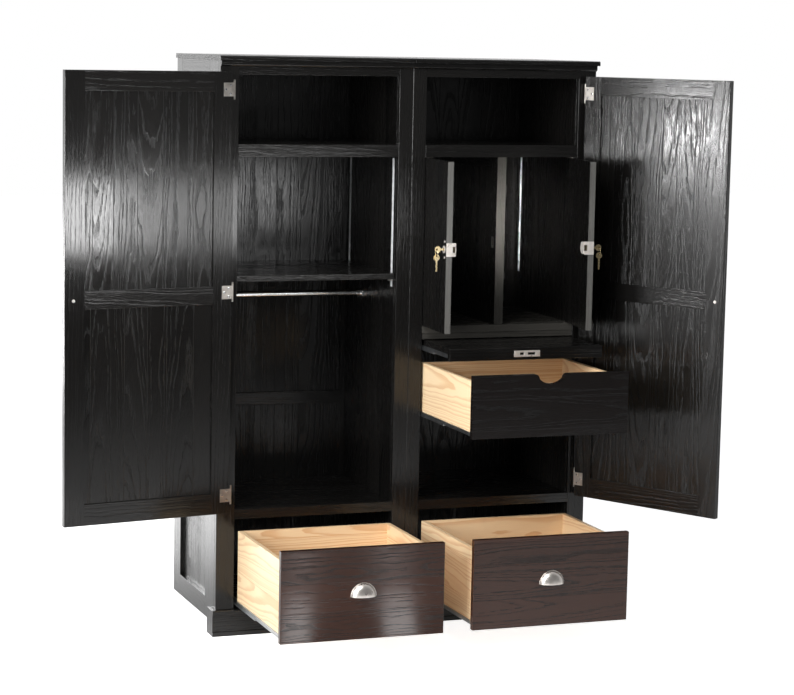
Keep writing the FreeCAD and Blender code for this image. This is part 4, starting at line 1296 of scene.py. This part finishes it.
@dataclass
class CupPull:
    """A bottom drawer's half-dome pull with a thin foot flange, and its screws inside."""

    side: str
    flange: float = 1.6 * MM
    wall: float = 1.4 * MM
    edge: float = 0.4 * MM
    columns: int = 56
    rows: int = 32
    rim_degrees: float = 60.0
    smooth: float = 50.0

    def dome(self, low: Vector, high: Vector) -> BMesh:
        """Builds the dome.

        Args:
            low: the lowest corner of the pull's box.
            high: its highest corner.

        Returns:
            The dome, in the frame's metres.
        """
        half, depth, tall = (high.x - low.x) / 2, high.y - low.y, high.z - low.z
        shape = bmesh.new()
        bmesh.ops.create_uvsphere(shape, u_segments=self.columns, v_segments=self.rows, radius=1.0)
        for normal in ((0, 1, 0), (0, 0, -1)):
            bmesh.ops.bisect_plane(shape, geom=shape.verts[:] + shape.edges[:] + shape.faces[:],
                                   plane_co=(0, 0, 0), plane_no=normal, clear_outer=True,
                                   dist=SAME_PLACE)
        for vert in shape.verts:
            vert.co = Vector((vert.co.x * (half - self.flange), vert.co.y * depth,
                              vert.co.z * (tall - self.flange)))
        foot = [e for e in shape.edges if e.is_boundary
                and all(abs(v.co.y) < SAME_PLACE for v in e.verts)]
        grown = bmesh.ops.extrude_edge_only(shape, edges=foot)
        for vert in verts_in(grown):
            vert.co.x *= half / (half - self.flange)
            vert.co.z *= tall / (tall - self.flange)
        bmesh.ops.remove_doubles(shape, verts=shape.verts, dist=SAME_PLACE)
        bmesh.ops.recalc_face_normals(shape, faces=shape.faces)
        front = min(shape.faces, key=lambda f: f.calc_center_median().y)
        if front.normal.y > 0:
            bmesh.ops.reverse_faces(shape, faces=shape.faces)
        bmesh.ops.solidify(shape, geom=shape.faces, thickness=self.wall)
        least, most = corners_of(shape.verts[:])
        for vert in shape.verts:
            vert.co = Vector([low[i] + (high[i] - low[i]) * (vert.co[i] - least[i])
                              / (most[i] - least[i]) for i in range(3)])
        return shape

    def build(self, finishes: Finishes) -> None:
        """Builds the pull.

        Args:
            finishes: the materials.
        """
        body = self.side + "_drawer"
        source = merged_copy(body + "_pull")
        dome = min(islands(source), key=lambda solid: corners_of(solid)[0].y)
        low, high = corners_of(dome)
        bmesh.ops.delete(source, geom=dome, context="VERTS")
        screws = object_from(body + "_pull_screws", source)
        finish_piece(screws, finishes.nickel, body)
        shape = self.dome(low, high)
        rims = [e for e in shape.edges if len(e.link_faces) == 2
                and e.calc_face_angle(0.0) > math.radians(self.rim_degrees)]
        bmesh.ops.bevel(shape, geom=rims, offset=self.edge, offset_type="OFFSET", segments=2,
                        profile=0.5, affect="EDGES", clamp_overlap=True, material=-1)
        piece = object_from(body + "_cup_pull", shape)
        finish_piece(
            piece, finishes.bright, body, (body + "_pull",), self.smooth)


@dataclass(frozen=True)
class SoftBox:
    """A rectangular studio lamp that faces a point and may stay out of reflections."""

    name: str
    place: tuple[float, float, float]
    target: tuple[float, float, float]
    size: tuple[float, float]
    power: float
    spread_degrees: float
    mirrored: bool = True

    def build(self) -> None:
        """Adds the lamp."""
        lamp = bpy.data.lights.new(self.name, "AREA")
        lamp.shape = "RECTANGLE"
        lamp.size, lamp.size_y = self.size
        lamp.energy = self.power
        lamp.spread = math.radians(self.spread_degrees)
        holder = bpy.data.objects.new(self.name, lamp)
        holder.visible_camera = False
        holder.visible_glossy = self.mirrored
        holder.location = self.place
        aim = Vector(self.target) - Vector(self.place)
        holder.rotation_euler = aim.to_track_quat("-Z", "Y").to_euler()
        bpy.context.scene.collection.objects.link(holder)


@dataclass
class Studio:
    """Floor, backdrop light, lamps and camera."""

    camera_place: tuple[float, float, float] = (-2.6795, -7.3801, 1.8892)
    turn_degrees: float = 20.336
    dip_degrees: float = 7.3625
    roll_degrees: float = 1.1192
    focal_pixels: float = 2388.17
    picture_width: float = 794.0
    sensor_mm: float = 36.0
    floor_size: float = 40.0
    floor_fade: tuple[float, float] = (-5.0, -2.4)
    paper_tone: tuple[float, float] = (0.12, 0.90)
    paper_light: tuple[float, float] = (0.02, 0.28)
    paper_share: float = 0.45
    paper_white: float = 1.30
    rear_fade: tuple[float, float] = (0.2, 1.6)
    rear_light: tuple[float, float] = (0.0, 1.7)
    room_fade: tuple[float, float] = (-0.75, 0.95)
    room_light: tuple[float, float] = (0.12, 1.75)
    wall_fade: tuple[float, float] = (0.0, 0.05)
    wall_light: tuple[float, float] = (1.75, 0.80)
    least_light: float = 0.18
    pane_lean: float = 0.34
    pane_columns: tuple[tuple[float, float], ...] = ((-0.778, 0.045), (-0.427, 0.053))
    pane_rows: tuple[tuple[float, float], ...] = ((-1.30, 0.38), (-2.22, 0.20))
    pane_light: float = 4.6
    pane_edge: tuple[float, float] = (1.25, 0.75)
    dim_column: tuple[tuple[float, float], ...] = ((-0.58, 0.38),)
    dim_row: tuple[tuple[float, float], ...] = ((-1.65, 1.15),)
    dimming: float = 0.78
    lamps: tuple[SoftBox, ...] = (
        SoftBox("left_door_softbox", (-0.66, -1.2, 1.27), (-1.02, -0.32, 1.44), (0.40, 0.24),
                0.92, 80),
        SoftBox("left_door_fill", (-0.33, -1.2, 1.27), (-0.83, 0.1, 1.42), (1.0, 0.24), 0.86, 80),
        SoftBox("right_door_softbox", (-3.2, -0.25, 1.46), (0.8, -0.5, 1.5), (0.9, 0.15), 2.5, 45),
        SoftBox("locker_spot", (-0.25, -1.7, 1.35), (0.577, 0.205, 1.30), (0.12, 0.12), 1.1, 16,
                mirrored=False),
        SoftBox("left_softbox", (-4.4, -2.6, 1.9), (0.0, -0.4, 0.6), (2.0, 2.0), 85.0, 120),
        SoftBox("high_softbox", (-2.0, -2.3, 3.7), (0.1, -0.4, 0.3), (2.2, 2.0), 53.0, 120),
        SoftBox("rear_softbox", (-1.8, 3.0, 0.7), (-0.9, 0.7, 0.1), (2.2, 0.8), 16.0, 90),
    )

    def build(self) -> None:
        """Adds the floor, the world, the lamps and the camera."""
        self.floor()
        self.world()
        for lamp in self.lamps:
            lamp.build()
        self.camera()
        bpy.context.scene.view_settings.view_transform = "Standard"

    def floor(self) -> None:
        """Adds the white paper floor, which takes the shadow."""
        shape = bmesh.new()
        bmesh.ops.create_grid(shape, x_segments=1, y_segments=1, size=self.floor_size / 2)
        floor = object_from("studio_floor", shape)
        material, tree = new_material("white_paper")
        node = partial(add_node, tree)
        path = node("LightPath").outputs
        mirrored = node("Math", [path["Is Glossy Ray"], path["Is Transmission Ray"]],
                        operation="MAXIMUM")
        # The paper is lit around the object and dims towards the room in front of it.
        place = node("SeparateXYZ", [node("TexCoord").outputs["Object"]]).outputs
        depth = place[1]
        lit = node("MapRange", [depth, *self.floor_fade, *self.paper_light], **SMOOTH)
        tone = node("MapRange", [depth, *self.floor_fade, *self.paper_tone], **SMOOTH)
        # Four window panes of light lie on the floor and show in the lacquer of the drawers.
        leaning = node("Math", [depth, self.pane_lean, place[0]], operation="MULTIPLY_ADD")
        panes = self.patches(tree, (leaning, depth), self.pane_columns, self.pane_rows)
        dim = self.patches(tree, (leaning, depth), self.dim_column, self.dim_row)
        dim = node("Math", [dim, mirrored], operation="MULTIPLY")
        dim = node("Math", [dim, -self.dimming, 1.0], operation="MULTIPLY_ADD")
        seen = node("Math", [tone, dim], operation="MULTIPLY")
        paper = node("BsdfDiffuse", [node("CombineColor", [seen, seen, seen])])
        white = node("Math", [tone, -self.paper_share, self.paper_white],
                     operation="MULTIPLY_ADD")
        glow = node("Math", [path["Is Camera Ray"], white], operation="MULTIPLY")
        behind = node("MapRange", [depth, *self.rear_fade, *self.rear_light], **SMOOTH)
        lit = node("Math", [lit, behind], operation="ADD")
        lit = node("Math", [panes, self.pane_light, lit], operation="MULTIPLY_ADD")
        glow = node("Math", [mirrored, lit, glow], operation="MULTIPLY_ADD")
        shown = node("Emission", {"Strength": glow})
        node("OutputMaterial", [node("AddShader", [paper, shown])])
        floor.data.materials.append(material)

    def patches(
        self, tree: NodeTree, axes: tuple[object, object],
        columns: tuple[tuple[float, float], ...], rows: tuple[tuple[float, float], ...]
    ) -> Node:
        """Adds the nodes of soft-edged rectangles.

        Args:
            tree: the material's node tree.
            axes: the outputs or nodes that give the place across and along.
            columns: the middle and half width of each column.
            rows: the middle and half length of each row.

        Returns:
            The node that gives 1 inside the rectangles and 0 outside.
        """
        node = partial(add_node, tree)
        bands = []
        for axis, pairs in zip(axes, (columns, rows)):
            band = None
            for middle, half in pairs:
                off = node("Math", [axis, middle], operation="SUBTRACT")
                off = node("Math", [off], operation="ABSOLUTE")
                rise = node("MapRange", [off, *(half * edge for edge in self.pane_edge)], **SMOOTH)
                band = node("Math", [band, rise], operation="MAXIMUM") if band else rise
            bands.append(band)
        return node("Math", bands, operation="MULTIPLY")

    def world(self) -> None:
        """Makes the surroundings: white where seen, and mirrored as a room lit from behind."""
        world = bpy.data.worlds.new("studio_world")
        world.use_nodes = True
        tree = world.node_tree
        tree.nodes.clear()
        node = partial(add_node, tree)
        path = node("LightPath").outputs
        mirrored = node("Math", [path["Is Glossy Ray"], path["Is Transmission Ray"]],
                        operation="MAXIMUM")
        way = node("TexCoord").outputs["Generated"]
        _, depth, height = node("SeparateXYZ", [way]).outputs
        room = node("MapRange", [depth, *self.room_fade, *self.room_light], **SMOOTH)
        wall = node("MapRange", [height, *self.wall_fade, *self.wall_light], **SMOOTH)
        room = node("Math", [room, wall], operation="MINIMUM")
        strength = node("Math", [mirrored, room, path["Is Camera Ray"]], operation="MULTIPLY_ADD")
        strength = node("Math", [strength, self.least_light], operation="MAXIMUM")
        light = node("Background", {"Color": (1.0, 1.0, 1.0, 1.0), "Strength": strength})
        node("OutputWorld", [light])
        bpy.context.scene.world = world

    def camera(self) -> None:
        """Adds the camera."""
        turn, dip, roll = (math.radians(d) for d in (
            self.turn_degrees, self.dip_degrees, self.roll_degrees))
        forward = Vector((math.sin(turn) * math.cos(dip), math.cos(turn) * math.cos(dip),
                          -math.sin(dip)))
        right = forward.cross(UP).normalized()
        upward = right.cross(forward)
        rolled_right = right * math.cos(roll) + upward * math.sin(roll)
        rolled_up = upward * math.cos(roll) - right * math.sin(roll)
        data = bpy.data.cameras.new("studio_camera")
        data.sensor_width = self.sensor_mm
        data.lens = self.focal_pixels / self.picture_width * self.sensor_mm
        data.clip_end = 100.0
        holder = bpy.data.objects.new("studio_camera", data)
        matrix = Matrix((rolled_right, rolled_up, -forward)).transposed().to_4x4()
        matrix.translation = Vector(self.camera_place)
        holder.matrix_world = matrix
        bpy.context.scene.collection.objects.link(holder)
        bpy.context.scene.camera = holder


def main() -> None:
    """Builds the armoire and the studio."""
    logging.basicConfig(level=logging.INFO, format="%(name)s: %(message)s")
    finishes = Finishes()
    Cabinet().build(finishes)
    for side in ("left", "right"):
        PanelDoor(side).build(finishes)
        Drawer(side + "_drawer").build(finishes)
        CupPull(side).build(finishes)
        LockerDoor(side).build(finishes)
    Drawer("inner_drawer").build(finishes)
    Tray().build(finishes)
    Studio().build()


if __name__ == "__main__":
    main()
